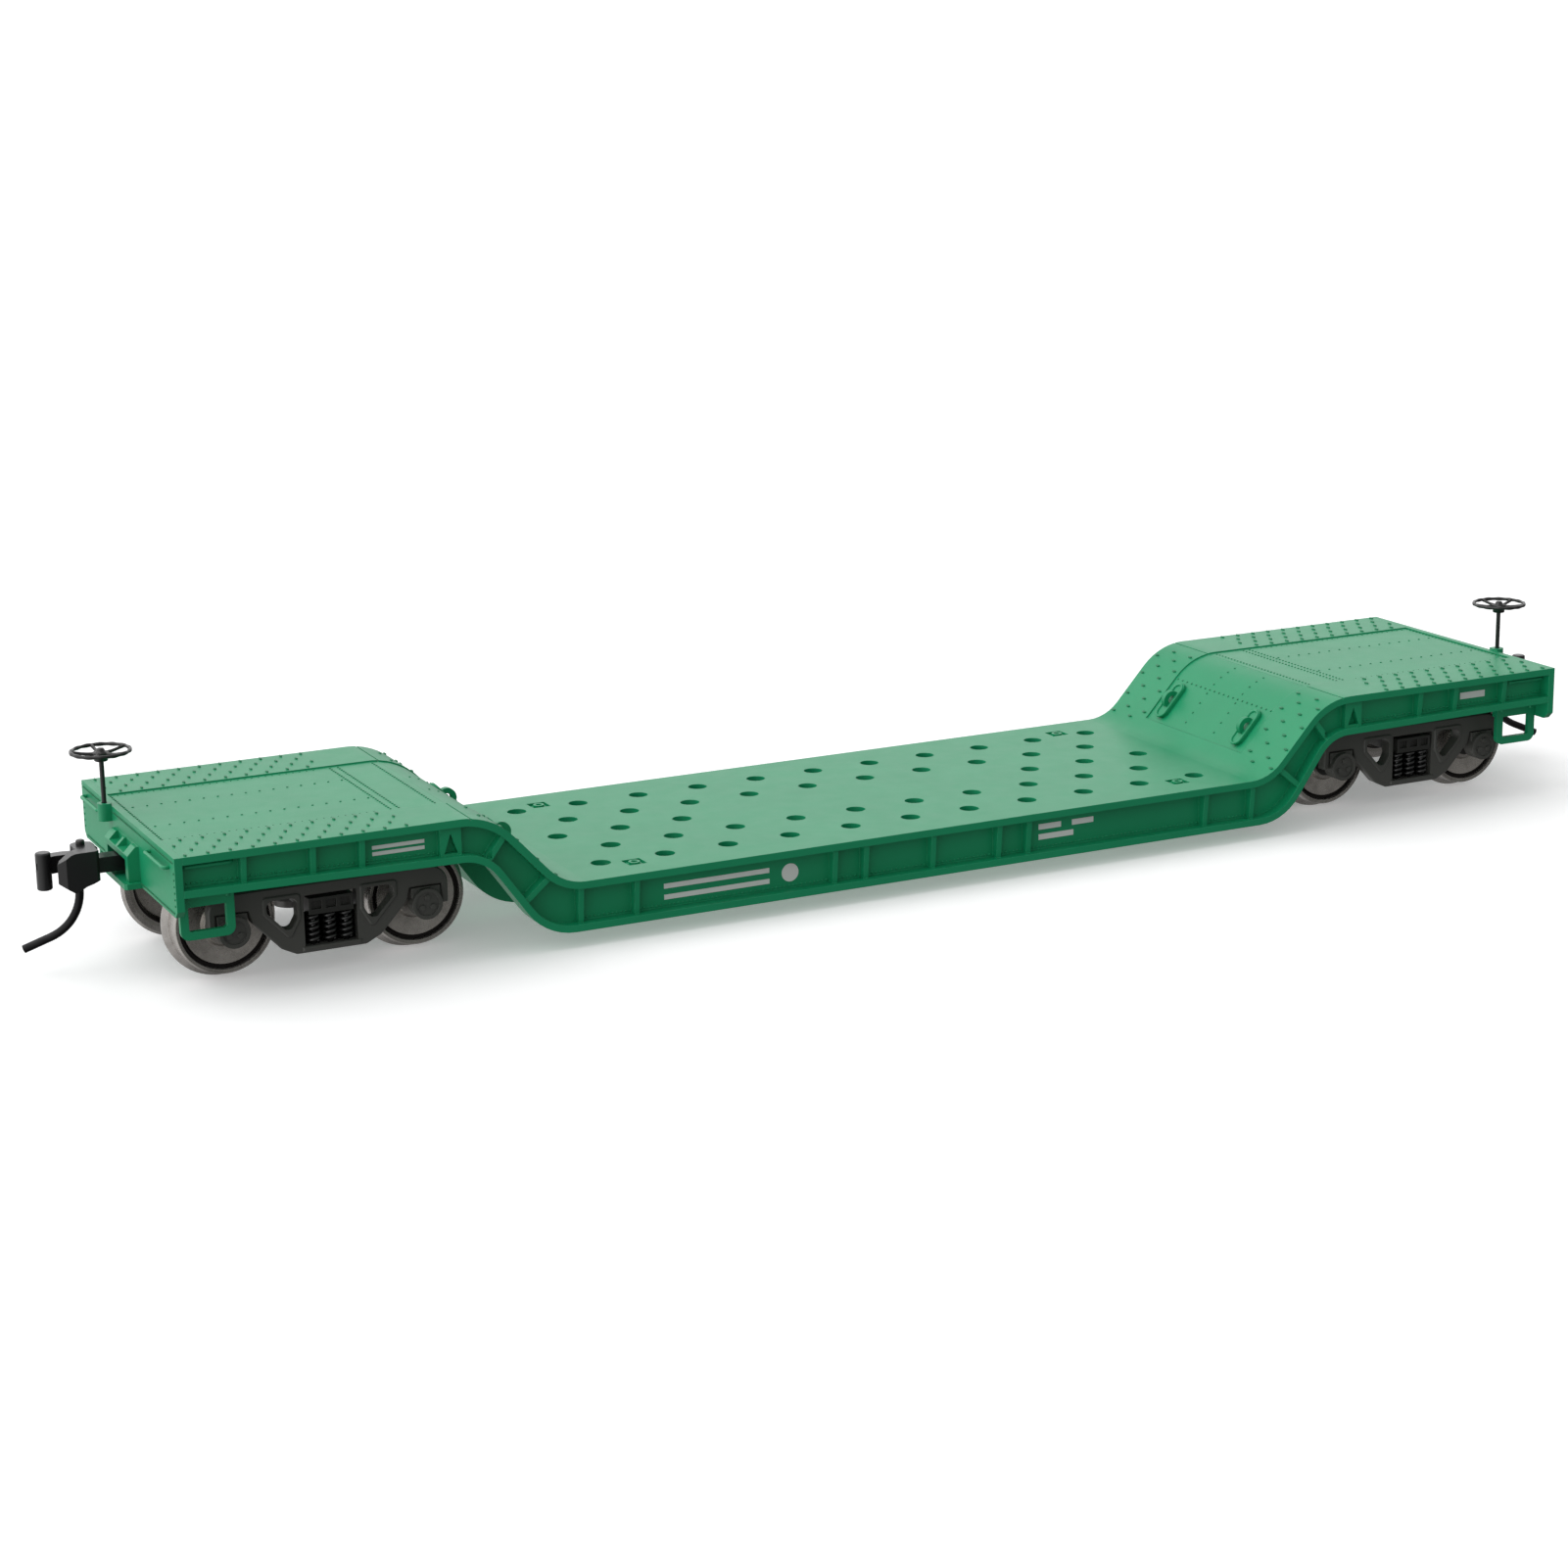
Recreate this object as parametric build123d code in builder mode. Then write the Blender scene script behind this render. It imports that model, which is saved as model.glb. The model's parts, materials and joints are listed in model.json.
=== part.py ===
"""HO scale (1:87) depressed-centre flat car on two roller-bearing trucks.

+X runs along the car, +Y across it, +Z up.  The origin is at mid length on the
centreline, at the bottom of the wheel flanges, on which the car stands.
End "b" is the +X end; end "a" is the same end turned half a turn about Z.
"""

import os
from math import atan2, cos, degrees, radians, sin

from build123d import *

# ---------------------------------------------------------------- driving dimensions (mm)
# body
sill_length = 168.0         # over the end sills, 48 ft at 1:87
car_width = 35.2
raised_height = 15.5        # top of the raised decks
well_height = 7.1           # top of the well deck
deck_knee_top = 51.15       # corner between raised deck and slope, before rounding
deck_knee_bottom = 43.45    # corner between slope and well deck, before rounding
deck_bend_top = 7.7
deck_bend_bottom = 5.5
deck_plate = 0.8
centre_step = 0.15          # how far the centre plates lie below the side strips
centre_plate_width = 20.6
recess_start = 44.6
seam_x = 53.4
seam_width = 0.16
seam_depth = 0.1
end_plate = 0.8

# stowage holes and rings in the well deck
hole_pitch = 7.4
row_pitch = 5.94
hole_radius = 1.08
tie_x = 33.8
tie_y = 13.3
tie_pocket = 2.1
tie_pocket_depth = 0.35

# side sills
sill_end_height = 11.35     # underside of the bottom flange at the car's ends
sill_knee_height = 10.9     # the same where the slope begins
sill_well_height = 1.8      # the same under the well
sill_knee_top = 52.05
sill_knee_bottom = 45.64
sill_bend_top = 4.4
sill_bend_bottom = 6.4
flange_plate = 0.75
flange_inner = 14.9
web_inner = 15.3
web_plate = 0.8
rib_plate = 0.6
rib_proud = 1.3
rib_taper = 0.55
well_ribs = (0.0, 8.25, 12.0, 35.2, 41.5)
raised_ribs = (64.8, 69.9, 77.0)
slope_ribs = ((50.9, 11.6, 52.0), (46.5, 6.75, 40.0))     # centre x, centre z, slant
bracket_x = 55.4
bracket_width = 2.3
bracket_proud = 0.9

# end sills
end_sill_bottom = 9.35
boss_x = 84.55
boss_y = 6.1
boss_radius = 0.74
boss_bottom = 13.9
boss_top = 15.75

# trucks
truck_centre = 67.05
axle_offset = 10.15
axle_height = 5.9
tread_radius = 5.25
flange_radius = 5.9
wheel_back = 7.25
wheel_width = 2.8
axle_radius = 1.18
journal_radius = 0.8
frame_inner = 11.7
frame_plate = 1.2
cap_radius = 1.63
cap_face = 13.5
cup_tip = 12.85              # point of the conical bearing cup
spring_pitch = 1.75
spring_radius = 0.72
spring_turns = 5
spring_seat = 3.2
bolster_seat = 6.5
bolster_half = 2.35
bolster_top = 9.3
plate_top = 10.0
plate_radius = 3.2
kingpin_radius = 1.2

# couplers
coupler_pivot = 80.5
pivot_radius = 1.2
screw_radius = 0.6            # draft gear and underframe screws
running = 0.05              # radial clearance of every turning fit
shank_centre = 11.15
head_base = 87.6
head_bottom = 9.0
head_top = 13.1
lug_bottom = 9.7            # underside of the lower ear that holds the knuckle
knuckle_x = 88.55
knuckle_y = -1.0
knuckle_pin_radius = 0.35
trip_radius = 0.43
wire = 0.2                  # radius of the grab iron wire

# brake staff
staff_radius = 0.25
brake_wheel_height = 21.3
brake_rim_radius = 2.95
brake_rim_wire = 0.25
brake_spokes = 5

# ballast and underframe
ballast_length = 73.0
ballast_width = 20.0
ballast_height = 1.9
pan_plate = 1.0
pan_length = 82.0
pan_width = 29.6
pan_screw_x = 38.5
centre_sill_width = 6.0
centre_sill_reach = 53.0
centre_sill_drop = 0.5      # how far it lies below the side sills

half_width = car_width / 2
half_length = sill_length / 2
deck_end = half_length - end_plate
deck_underside = raised_height - deck_plate
well_underside = well_height - deck_plate
slope_angle = degrees(atan2(raised_height - well_height, deck_knee_top - deck_knee_bottom))

ENDS = {"a": Location((0, 0, 0), (0, 0, 180)), "b": Location((0, 0, 0), (0, 0, 0))}
SIDES = {"left": Location((0, 0, 0), (0, 0, 0)), "right": Location((0, 0, 0), (0, 0, 180))}

os.makedirs("parts", exist_ok=True)


def write(node, shape, place=Location()):
    """Write one node, set down at its place on the car."""
    placed = shape.moved(place)
    placed.label = node
    export_step(placed, f"parts/{node}.step")


# ---------------------------------------------------------------- bent outlines
def bent_line(ends, raised, well, knee_top, knee_bottom, bend_top, bend_bottom):
    """Corner points and corner radii of a line that dips into the well."""
    points = [
        (-deck_end, ends),
        (-knee_top, raised),
        (-knee_bottom, well),
        (knee_bottom, well),
        (knee_top, raised),
        (deck_end, ends),
    ]
    return points, [bend_top, bend_bottom, bend_bottom, bend_top]


def shifted(line, distance):
    """The same bent line a distance higher, or lower where the distance is negative."""
    points, radii = line
    along = []
    for start, end in zip(points, points[1:]):
        along.append((Vector(*end) - Vector(*start)).normalized())
    normals = [Vector(-step.Y, step.X) for step in along]
    moved = [Vector(*points[0]) + Vector(0, distance)]
    bends = []
    for index, radius in enumerate(radii):
        before, after = normals[index], normals[index + 1]
        corner = Vector(*points[index + 1])
        moved.append(corner + (before + after) * (distance / (1 + before.dot(after))))
        turns_left = along[index].cross(along[index + 1]).Z > 0
        bends.append(radius - distance if turns_left else radius + distance)
    moved.append(Vector(*points[-1]) + Vector(0, distance))
    return [(point.X, point.Y) for point in moved], bends


def band(upper, lower):
    """Closed outline between two bent lines."""
    top = FilletPolyline(*upper[0], radius=upper[1])
    bottom = FilletPolyline(*lower[0], radius=lower[1])
    Line(top @ 0, bottom @ 0)
    Line(top @ 1, bottom @ 1)


deck_line = bent_line(
    raised_height, raised_height, well_height,
    deck_knee_top, deck_knee_bottom, deck_bend_top, deck_bend_bottom,
)
sill_line = bent_line(
    sill_end_height, sill_knee_height, sill_well_height,
    sill_knee_top, sill_knee_bottom, sill_bend_top, sill_bend_bottom,
)


# ---------------------------------------------------------------- deck
def stowage_holes():
    """Centres of the 48 holes: five rows, staggered by half a pitch."""
    long_row = [hole_pitch * step for step in range(-5, 6)]
    short_row = [hole_pitch * (step + 0.5) for step in range(-5, 5)]
    middle_row = [x for x in long_row if abs(x) > 2.5 * hole_pitch]
    centres = []
    for y, row in ((2, long_row), (1, short_row), (0, middle_row), (-1, short_row), (-2, long_row)):
        centres += [(x, y * row_pitch) for x in row]
    return centres


tie_points = [(x, y) for x in (-tie_x, tie_x) for y in (-tie_y, tie_y)]
pan_screws = [(-pan_screw_x, 0), (pan_screw_x, 0)]

with BuildPart() as centre_recess:
    with BuildSketch(Plane.XZ):
        with BuildLine():
            band(shifted(deck_line, 1.0), shifted(deck_line, -centre_step))
        make_face()
    extrude(amount=centre_plate_width / 2, both=True)
    Box(2 * recess_start, car_width, 2 * raised_height, mode=Mode.SUBTRACT)

with BuildPart() as deck:
    with BuildSketch(Plane.XZ):
        with BuildLine():
            band(deck_line, shifted(deck_line, -deck_plate))
        make_face()
    extrude(amount=half_width, both=True)
    add(centre_recess.part, mode=Mode.SUBTRACT)
    with BuildSketch(Plane.XY.offset(raised_height)):
        with Locations((-seam_x, 0), (seam_x, 0)):
            Rectangle(seam_width, car_width)
    extrude(amount=-centre_step - seam_depth, mode=Mode.SUBTRACT)
    with BuildSketch(Plane.XY.offset(well_height)):
        with Locations(*stowage_holes()):
            Circle(hole_radius)
    extrude(amount=-deck_plate, mode=Mode.SUBTRACT)
    with BuildSketch(Plane.XY.offset(well_height)):
        with Locations(*tie_points):
            Rectangle(tie_pocket, tie_pocket)
    extrude(amount=-tie_pocket_depth, mode=Mode.SUBTRACT)
    with BuildSketch(Plane.XY.offset(well_underside)):
        with Locations(*pan_screws):
            Circle(1.6)
            Circle(0.6, mode=Mode.SUBTRACT)
    extrude(amount=-ballast_height)
write("deck", deck.part)

with BuildPart() as deck_rings:
    with BuildSketch(Plane.XY.offset(well_height - tie_pocket_depth)):
        with Locations(*tie_points):
            Rectangle(tie_pocket - 0.2, tie_pocket - 0.2)
    extrude(amount=0.12)
    with BuildSketch(Plane.XY.offset(well_height - tie_pocket_depth + 0.12)):
        with Locations(*tie_points):
            Circle(0.62)
            Circle(0.34, mode=Mode.SUBTRACT)
    extrude(amount=0.3)
write("deck_rings", deck_rings.part)


# ---------------------------------------------------------------- lashing lugs on the slopes
lug_x = 46.8
lug_y = 8.0
lug_length = 5.0
lug_width = 1.9
lug_base = 0.4
loop_length = 2.2
loop_height = 1.05
loop_plate = 0.65
loop_bar = 0.6


def slope_plane(side):
    """Plane on the centre plate of the +X slope, its x axis running up the slope."""
    rise = radians(slope_angle)
    height = well_height + (lug_x - deck_knee_bottom) * (sin(rise) / cos(rise))
    surface = Plane(
        origin=(lug_x, side * lug_y, height),
        x_dir=(cos(rise), 0, sin(rise)),
        z_dir=(-sin(rise), 0, cos(rise)),
    )
    return surface.offset(-centre_step)


with BuildPart() as slope_lugs:
    for side in (-1, 1):
        surface = slope_plane(side)
        with BuildSketch(surface):
            SlotOverall(lug_length, lug_width)
        extrude(amount=lug_base)
        upright = Plane(origin=surface.offset(lug_base).origin, x_dir=surface.x_dir, z_dir=(0, -1, 0))
        with BuildSketch(upright):
            SlotOverall(loop_length, 2 * loop_height)
            SlotOverall(loop_length - 2 * loop_bar, 2 * (loop_height - loop_bar), mode=Mode.SUBTRACT)
            with Locations((0, -loop_height)):
                Rectangle(loop_length, 2 * loop_height, mode=Mode.SUBTRACT)
        extrude(amount=loop_plate / 2, both=True)
    add(slope_lugs.part.rotate(Axis.Z, 180))
write("slope_lugs", slope_lugs.part)


# ---------------------------------------------------------------- side sills
with BuildPart() as ribs:
    with BuildSketch(Plane.XZ.offset(web_inner + web_plate)):
        with BuildLine():
            band(shifted(deck_line, -deck_plate), shifted(sill_line, flange_plate))
        make_face()
    extrude(amount=rib_proud)
    with BuildSketch(Plane.XZ.offset(web_inner + web_plate)):
        for x in well_ribs + raised_ribs:
            for sign in (-1, 1):
                with Locations((sign * x, 0)):
                    Rectangle(rib_plate, 4 * raised_height)
        for x, z, slant in slope_ribs:
            for sign in (-1, 1):
                with Locations(Location((sign * x, z), sign * (90 - slant))):
                    Rectangle(rib_plate, 7.0)
    extrude(amount=rib_proud, mode=Mode.INTERSECT)
    for bottom, top, middle, reach in (
        (sill_well_height, well_height, 0.0, 2 * sill_knee_bottom),
        (sill_knee_height, raised_height, -(deck_end + deck_knee_top) / 2, deck_end - deck_knee_top),
        (sill_knee_height, raised_height, (deck_end + deck_knee_top) / 2, deck_end - deck_knee_top),
    ):
        outer = -(web_inner + web_plate + rib_proud)
        with BuildSketch(Plane.YZ.offset(middle)):
            with BuildLine():
                Polyline((outer, top), (outer, bottom), (outer + rib_taper, bottom), close=True)
            make_face()
        extrude(amount=reach / 2, both=True, mode=Mode.SUBTRACT)

with BuildPart() as brackets:
    with BuildSketch(Plane.XZ.offset(web_inner + web_plate)):
        with BuildLine():
            band(shifted(deck_line, -deck_plate), shifted(sill_line, flange_plate))
        make_face()
    extrude(amount=bracket_proud)
    with BuildSketch(Plane.XZ.offset(web_inner + web_plate)):
        with Locations((-bracket_x, sill_knee_height + 2), (bracket_x, sill_knee_height + 2)):
            Rectangle(bracket_width, 2 * raised_height)
        for sign in (-1, 1):
            with BuildLine():
                Polyline(
                    (sign * bracket_x - 0.75, sill_knee_height + 1.0),
                    (sign * bracket_x + 0.75, sill_knee_height + 1.0),
                    (sign * bracket_x, sill_knee_height + 3.1),
                    close=True,
                )
            make_face(mode=Mode.SUBTRACT)
    extrude(amount=bracket_proud, mode=Mode.INTERSECT)

with BuildPart() as side_sill:
    with BuildSketch(Plane.XZ.offset(web_inner)):
        with BuildLine():
            band(shifted(deck_line, -deck_plate), sill_line)
        make_face()
    extrude(amount=web_plate)
    with BuildSketch(Plane.XZ.offset(flange_inner)):
        with BuildLine():
            band(shifted(sill_line, flange_plate), sill_line)
        make_face()
    extrude(amount=half_width - flange_inner)
    add(ribs.part)
    add(brackets.part)
for side, place in SIDES.items():
    write(f"side_sill_{side}", side_sill.part, place)


# ---------------------------------------------------------------- end sills
box_half_width = 4.4
box_bottom = 9.9
box_top = deck_underside

with BuildPart() as end_sill:
    with BuildSketch(Plane.YZ.offset(deck_end)):
        with Locations((0, (end_sill_bottom + raised_height) / 2)):
            Rectangle(car_width, raised_height - end_sill_bottom)
        with Locations((0, (end_sill_bottom + box_top) / 2)):
            Rectangle(2 * box_half_width, box_top - end_sill_bottom, mode=Mode.SUBTRACT)
    extrude(amount=end_plate)
    corners = end_sill.edges().filter_by(Axis.X).group_by(Axis.Z)[0].sort_by(Axis.Y)
    chamfer([corners[0], corners[-1]], length=0.7)
    with BuildSketch(Plane.XY.offset(boss_bottom)):
        with Locations((boss_x, -boss_y)):
            Circle(boss_radius)
        with Locations(((half_length + boss_x) / 2, -boss_y)):
            Rectangle(boss_x - half_length, 2 * boss_radius)
    extrude(amount=boss_top - boss_bottom)
    with Locations((boss_x, -boss_y, (boss_bottom + boss_top) / 2)):
        Cylinder(staff_radius + running, boss_top - boss_bottom, mode=Mode.SUBTRACT)
for end, place in ENDS.items():
    write(f"end_sill_{end}", end_sill.part, place)


# ---------------------------------------------------------------- draft gear pocket
striker_face = 85.2
striker_top = 13.5
striker_slope = 0.85
cell_floor = 12.7
cell_length = 1.1
cell_width = 2.5
cell_y = 1.55
pocket_wall = 0.8
screw_depth = 3.6
lid_corner = 0.25
pocket_rear = 76.5
pocket_half = 3.4
pocket_top = 12.1
lid_bottom = 9.3
lid_front = 85.75
lid_half_width = 4.9

with BuildPart() as draft_box:
    with BuildSketch(Plane.XY.offset(box_bottom)):
        with Locations(((pocket_rear + half_length) / 2, 0)):
            Rectangle(half_length - pocket_rear, 2 * box_half_width)
    extrude(amount=box_top - box_bottom)
    with BuildSketch(Plane.YZ.offset(half_length)):
        with Locations((0, (box_bottom + striker_top) / 2)):
            Rectangle(2 * box_half_width, striker_top - box_bottom)
    extrude(amount=striker_face - half_length)
    with BuildSketch(Plane.XY.offset(box_bottom)):
        with Locations(((pocket_rear + pocket_wall + striker_face) / 2, 0)):
            Rectangle(striker_face - pocket_rear - pocket_wall, 2 * pocket_half)
    extrude(amount=pocket_top - box_bottom, mode=Mode.SUBTRACT)
    brow = draft_box.edges().filter_by(Axis.Y).group_by(Axis.X)[-1].sort_by(Axis.Z)[-1]
    chamfer(brow, length=striker_slope)
    with BuildSketch(Plane.XY.offset(cell_floor)):
        with Locations((striker_face - cell_length / 2, -cell_y), (striker_face - cell_length / 2, cell_y)):
            Rectangle(cell_length, cell_width)
    extrude(amount=striker_top - cell_floor, mode=Mode.SUBTRACT)
    with BuildSketch(Plane.XY.offset(box_bottom)):
        with Locations((coupler_pivot, 0)):
            Circle(pivot_radius)
    extrude(amount=pocket_top - box_bottom)
    with BuildSketch(Plane.XY.offset(box_bottom)):
        with Locations((coupler_pivot, 0)):
            Circle(screw_radius)
    extrude(amount=screw_depth, mode=Mode.SUBTRACT)

with BuildPart() as draft_lid:
    with BuildSketch(Plane.XY.offset(lid_bottom)):
        with Locations(((pocket_rear + lid_front) / 2, 0)):
            Rectangle(lid_front - pocket_rear, 2 * box_half_width)
        with Locations(((half_length + lid_front) / 2, 0)):
            Rectangle(lid_front - half_length, 2 * lid_half_width)
        with Locations((coupler_pivot, 0)):
            Circle(screw_radius, mode=Mode.SUBTRACT)
    extrude(amount=box_bottom - lid_bottom)
    front = draft_lid.edges().filter_by(Axis.Z).group_by(Axis.X)[-1]
    chamfer(front, length=lid_corner)

leaf_rear = 77.7
leaf_front = 84.6
leaf_y = 2.9
leaf_bend = 0.8
leaf_plate = 0.15
leaf_gap = 0.1
with BuildPart() as centring_spring:
    with BuildSketch(Plane.XY.offset(box_bottom + leaf_gap)):
        with BuildLine():
            leaf = FilletPolyline(
                (leaf_front, -leaf_y), (leaf_rear, -leaf_y), (leaf_rear, leaf_y), (leaf_front, leaf_y),
                radius=leaf_bend,
            )
            offset(leaf, amount=leaf_plate, side=Side.LEFT)
        make_face()
    extrude(amount=pocket_top - box_bottom - 3 * leaf_gap)

for end, place in ENDS.items():
    write(f"draft_box_{end}", draft_box.part, place)
    write(f"draft_lid_{end}", draft_lid.part, place)
    write(f"centring_spring_{end}", centring_spring.part, place)


# ---------------------------------------------------------------- couplers
shank_half_height = 0.8
shank_half_width = 0.95
eye_radius = 2.1
eye_top = pocket_top - 0.1
eye_bottom = box_bottom + 0.1
lug_plate = 0.7
lug_radius = 1.05
barrel_radius = 0.8         # of the knuckle, between the ears
jaw_gap = 0.1
pin_head_radius = 0.45
pin_head_height = 0.5
head_half_width = 3.0
trip_x = 89.4
trip_y = 0.9
trip_start = 9.7

with BuildPart() as coupler_head:
    with BuildSketch(Plane.XY.offset(head_bottom)):
        with BuildLine():
            Polyline(
                (87.5, -0.15), (87.5, 2.2), (87.8, 2.4), (90.9, 2.5), (91.7, 2.0), (91.4, 1.4),
                (90.0, 0.95), (89.2, 0.45), (88.2, 0.0), close=True,
            )
        make_face()
    extrude(amount=head_top - head_bottom)
    for base in (lug_bottom, head_top - lug_plate):
        with BuildSketch(Plane.XY.offset(base)):
            with Locations((knuckle_x, knuckle_y)):
                Circle(lug_radius)
            with BuildLine():
                Polyline((87.2, -1.4), (88.0, -1.9), (89.5, -0.6), (89.5, 0.6), (87.2, 0.6), close=True)
            make_face()
            with Locations((knuckle_x, knuckle_y)):
                Circle(knuckle_pin_radius, mode=Mode.SUBTRACT)
        extrude(amount=lug_plate)
    with BuildSketch(Plane.XZ):
        with BuildLine():
            Polyline(
                (87.0, 10.1), (87.8, 9.9), (88.3, 9.7), (88.9, 9.55), (89.7, 9.15), (90.15, head_bottom),
                (91.7, 10.1), (91.7, 12.1), (90.4, 12.95), (89.9, head_top), (87.4, head_top), (87.0, 12.8),
                close=True,
            )
        make_face()
    extrude(amount=head_half_width, both=True, mode=Mode.INTERSECT)
    with BuildSketch(Plane.XY.offset(head_bottom)):
        with Locations((trip_x, trip_y)):
            Circle(trip_radius)
    extrude(amount=trip_start - head_bottom, mode=Mode.SUBTRACT)

with BuildPart() as coupler:
    with BuildSketch(Plane.XY.offset(eye_bottom)):
        with Locations((coupler_pivot, 0)):
            Circle(eye_radius)
    extrude(amount=eye_top - eye_bottom)
    with BuildSketch(Plane.XY.offset(shank_centre - shank_half_height)):
        with Locations(((coupler_pivot + head_base) / 2, 0)):
            Rectangle(head_base - coupler_pivot, 2 * shank_half_width)
    extrude(amount=2 * shank_half_height)
    with BuildSketch(Plane.XY.offset(eye_bottom)):
        with Locations((coupler_pivot, 0)):
            Circle(pivot_radius + running)
    extrude(amount=eye_top - eye_bottom, mode=Mode.SUBTRACT)
    add(coupler_head.part)

nose_x = 92.55
nose_y = -0.4
nose_radius = 0.78
nose_rounding = 0.2
nose_slot_height = 0.8
nose_slot_depth = 0.45
nose_slot_width = 0.7
nose_bottom = 9.05
nose_top = 12.95

with BuildPart() as knuckle:
    with BuildSketch(Plane.XY.offset(lug_bottom + lug_plate + jaw_gap)):
        with Locations((knuckle_x, knuckle_y)):
            Circle(barrel_radius)
        with BuildLine():
            Polyline(
                (88.6, -1.8), (90.3, -2.2), (91.7, -2.1), (92.9, -1.2), (92.2, -0.5), (91.2, -0.75),
                (90.0, -0.7), (88.8, -0.24), close=True,
            )
        make_face()
        with Locations((knuckle_x, knuckle_y)):
            Circle(knuckle_pin_radius + running, mode=Mode.SUBTRACT)
    extrude(amount=head_top - lug_bottom - 2 * (lug_plate + jaw_gap))
    with BuildSketch(Plane.XY.offset(nose_bottom)):
        with Locations((nose_x, nose_y)):
            Circle(nose_radius)
    extrude(amount=nose_top - nose_bottom)
    flats = knuckle.faces().filter_by(Axis.Z).sort_by(Axis.Z)
    fillet(flats[0].edges() + flats[-1].edges(), radius=nose_rounding)
    with BuildSketch(Plane.XY.offset(shank_centre)):
        with Locations((nose_x + nose_radius, nose_y)):
            Rectangle(2 * nose_slot_depth, nose_slot_width)
    extrude(amount=nose_slot_height, mode=Mode.SUBTRACT)

with BuildPart() as knuckle_pin:
    with BuildSketch(Plane.XY.offset(lug_bottom)):
        with Locations((knuckle_x, knuckle_y)):
            Circle(knuckle_pin_radius)
    extrude(amount=head_top - lug_bottom)
    with BuildSketch(Plane.XY.offset(head_top)):
        with Locations((knuckle_x, knuckle_y)):
            Circle(pin_head_radius)
    extrude(amount=pin_head_height)
    fillet(knuckle_pin.faces().sort_by(Axis.Z)[-1].edges(), radius=nose_rounding)

trip_drop = 8.9
trip_bend = 5.25
trip_turn = 67.0
trip_tail = 3.0
trip_heading = -21.0

with BuildPart() as trip_pin:
    outwards = (cos(radians(trip_heading)), sin(radians(trip_heading)), 0)
    standing = Plane(origin=(trip_x, trip_y, 0), x_dir=outwards, z_dir=(outwards[1], -outwards[0], 0))
    with BuildLine(standing):
        drop = Line((0, trip_start), (0, trip_drop))
        bend = JernArc(start=drop @ 1, tangent=(0, -1), radius=trip_bend, arc_size=trip_turn)
        Line(bend @ 1, (bend @ 1) + (bend % 1) * trip_tail)
    with BuildSketch(Plane(origin=drop @ 0, z_dir=(0, 0, -1))):
        Circle(trip_radius)
    sweep()

for end, place in ENDS.items():
    write(f"coupler_{end}", coupler.part, place)
    write(f"knuckle_{end}", knuckle.part, place)
    write(f"knuckle_pin_{end}", knuckle_pin.part, place)
    write(f"trip_pin_{end}", trip_pin.part, place)


# ---------------------------------------------------------------- body bolsters, ballast and underframe
bolster_beam = 5.0
beam_bottom = 12.0
beam_reach = web_inner
pivot_gap = 0.05
kingpin_depth = 3.6
head_height = 0.7
screw_head_radius = 1.1
cross_length = 1.3
cross_width = 0.3
cross_depth = 0.3
plate_corner = 1.5

with BuildPart() as body_bolster:
    with BuildSketch(Plane.XY.offset(beam_bottom)):
        with Locations((truck_centre, 0)):
            Rectangle(bolster_beam, 2 * beam_reach)
    extrude(amount=deck_underside - beam_bottom)
    with BuildSketch(Plane.XY.offset(plate_top + pivot_gap)):
        with Locations((truck_centre, 0)):
            Circle(plate_radius)
    extrude(amount=beam_bottom - plate_top - pivot_gap)
    with BuildSketch(Plane.XY.offset(plate_top + pivot_gap)):
        with Locations((truck_centre, 0)):
            Circle(kingpin_radius)
    extrude(amount=kingpin_depth, mode=Mode.SUBTRACT)

ballast_bottom = well_underside - ballast_height
with BuildPart() as ballast_weight:
    with BuildSketch(Plane.XY.offset(ballast_bottom)):
        RectangleRounded(ballast_length, ballast_width, plate_corner)
    extrude(amount=ballast_height)
write("ballast_weight", ballast_weight.part)

pan_bottom = ballast_bottom - pan_plate
bearer_height = 1.3
bearers = (0.0, 12.0, 24.0, 34.0)
bearer_plate = 1.0
bearer_length = 28.6
pan_hole_radius = 0.9
pan_gap = 0.1
screw_clearance = 1.5
with BuildPart() as underframe:
    with BuildSketch(Plane.XY.offset(pan_bottom)):
        RectangleRounded(pan_length, pan_width, plate_corner)
    extrude(amount=pan_plate)
    with BuildSketch(Plane.XY.offset(pan_bottom - bearer_height)):
        for x in bearers:
            with Locations((-x, 0), (x, 0)):
                Rectangle(bearer_plate, bearer_length)
        Rectangle(pan_length, centre_sill_width, mode=Mode.SUBTRACT)
    extrude(amount=bearer_height)
    with Locations((-pan_screw_x, 0, pan_bottom), (pan_screw_x, 0, pan_bottom)):
        Cylinder(pan_hole_radius, 2 * pan_plate + running, mode=Mode.SUBTRACT)
write("underframe", underframe.part)


with BuildPart() as centre_sill:
    with BuildSketch(Plane.XZ):
        with BuildLine():
            band(shifted(deck_line, -deck_plate), shifted(sill_line, -centre_sill_drop))
        make_face()
    extrude(amount=centre_sill_width / 2, both=True)
    with BuildSketch(Plane.XY.offset(pan_bottom)):
        Rectangle(pan_length + 2 * pan_gap, centre_sill_width)
    extrude(amount=raised_height, mode=Mode.SUBTRACT)
    Box(2 * centre_sill_reach, centre_sill_width, 2 * raised_height, mode=Mode.INTERSECT)
    with Locations((-pan_screw_x, 0, pan_bottom), (pan_screw_x, 0, pan_bottom)):
        Cylinder(screw_clearance, 2 * raised_height, mode=Mode.SUBTRACT)
write("centre_sill", centre_sill.part)


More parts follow.
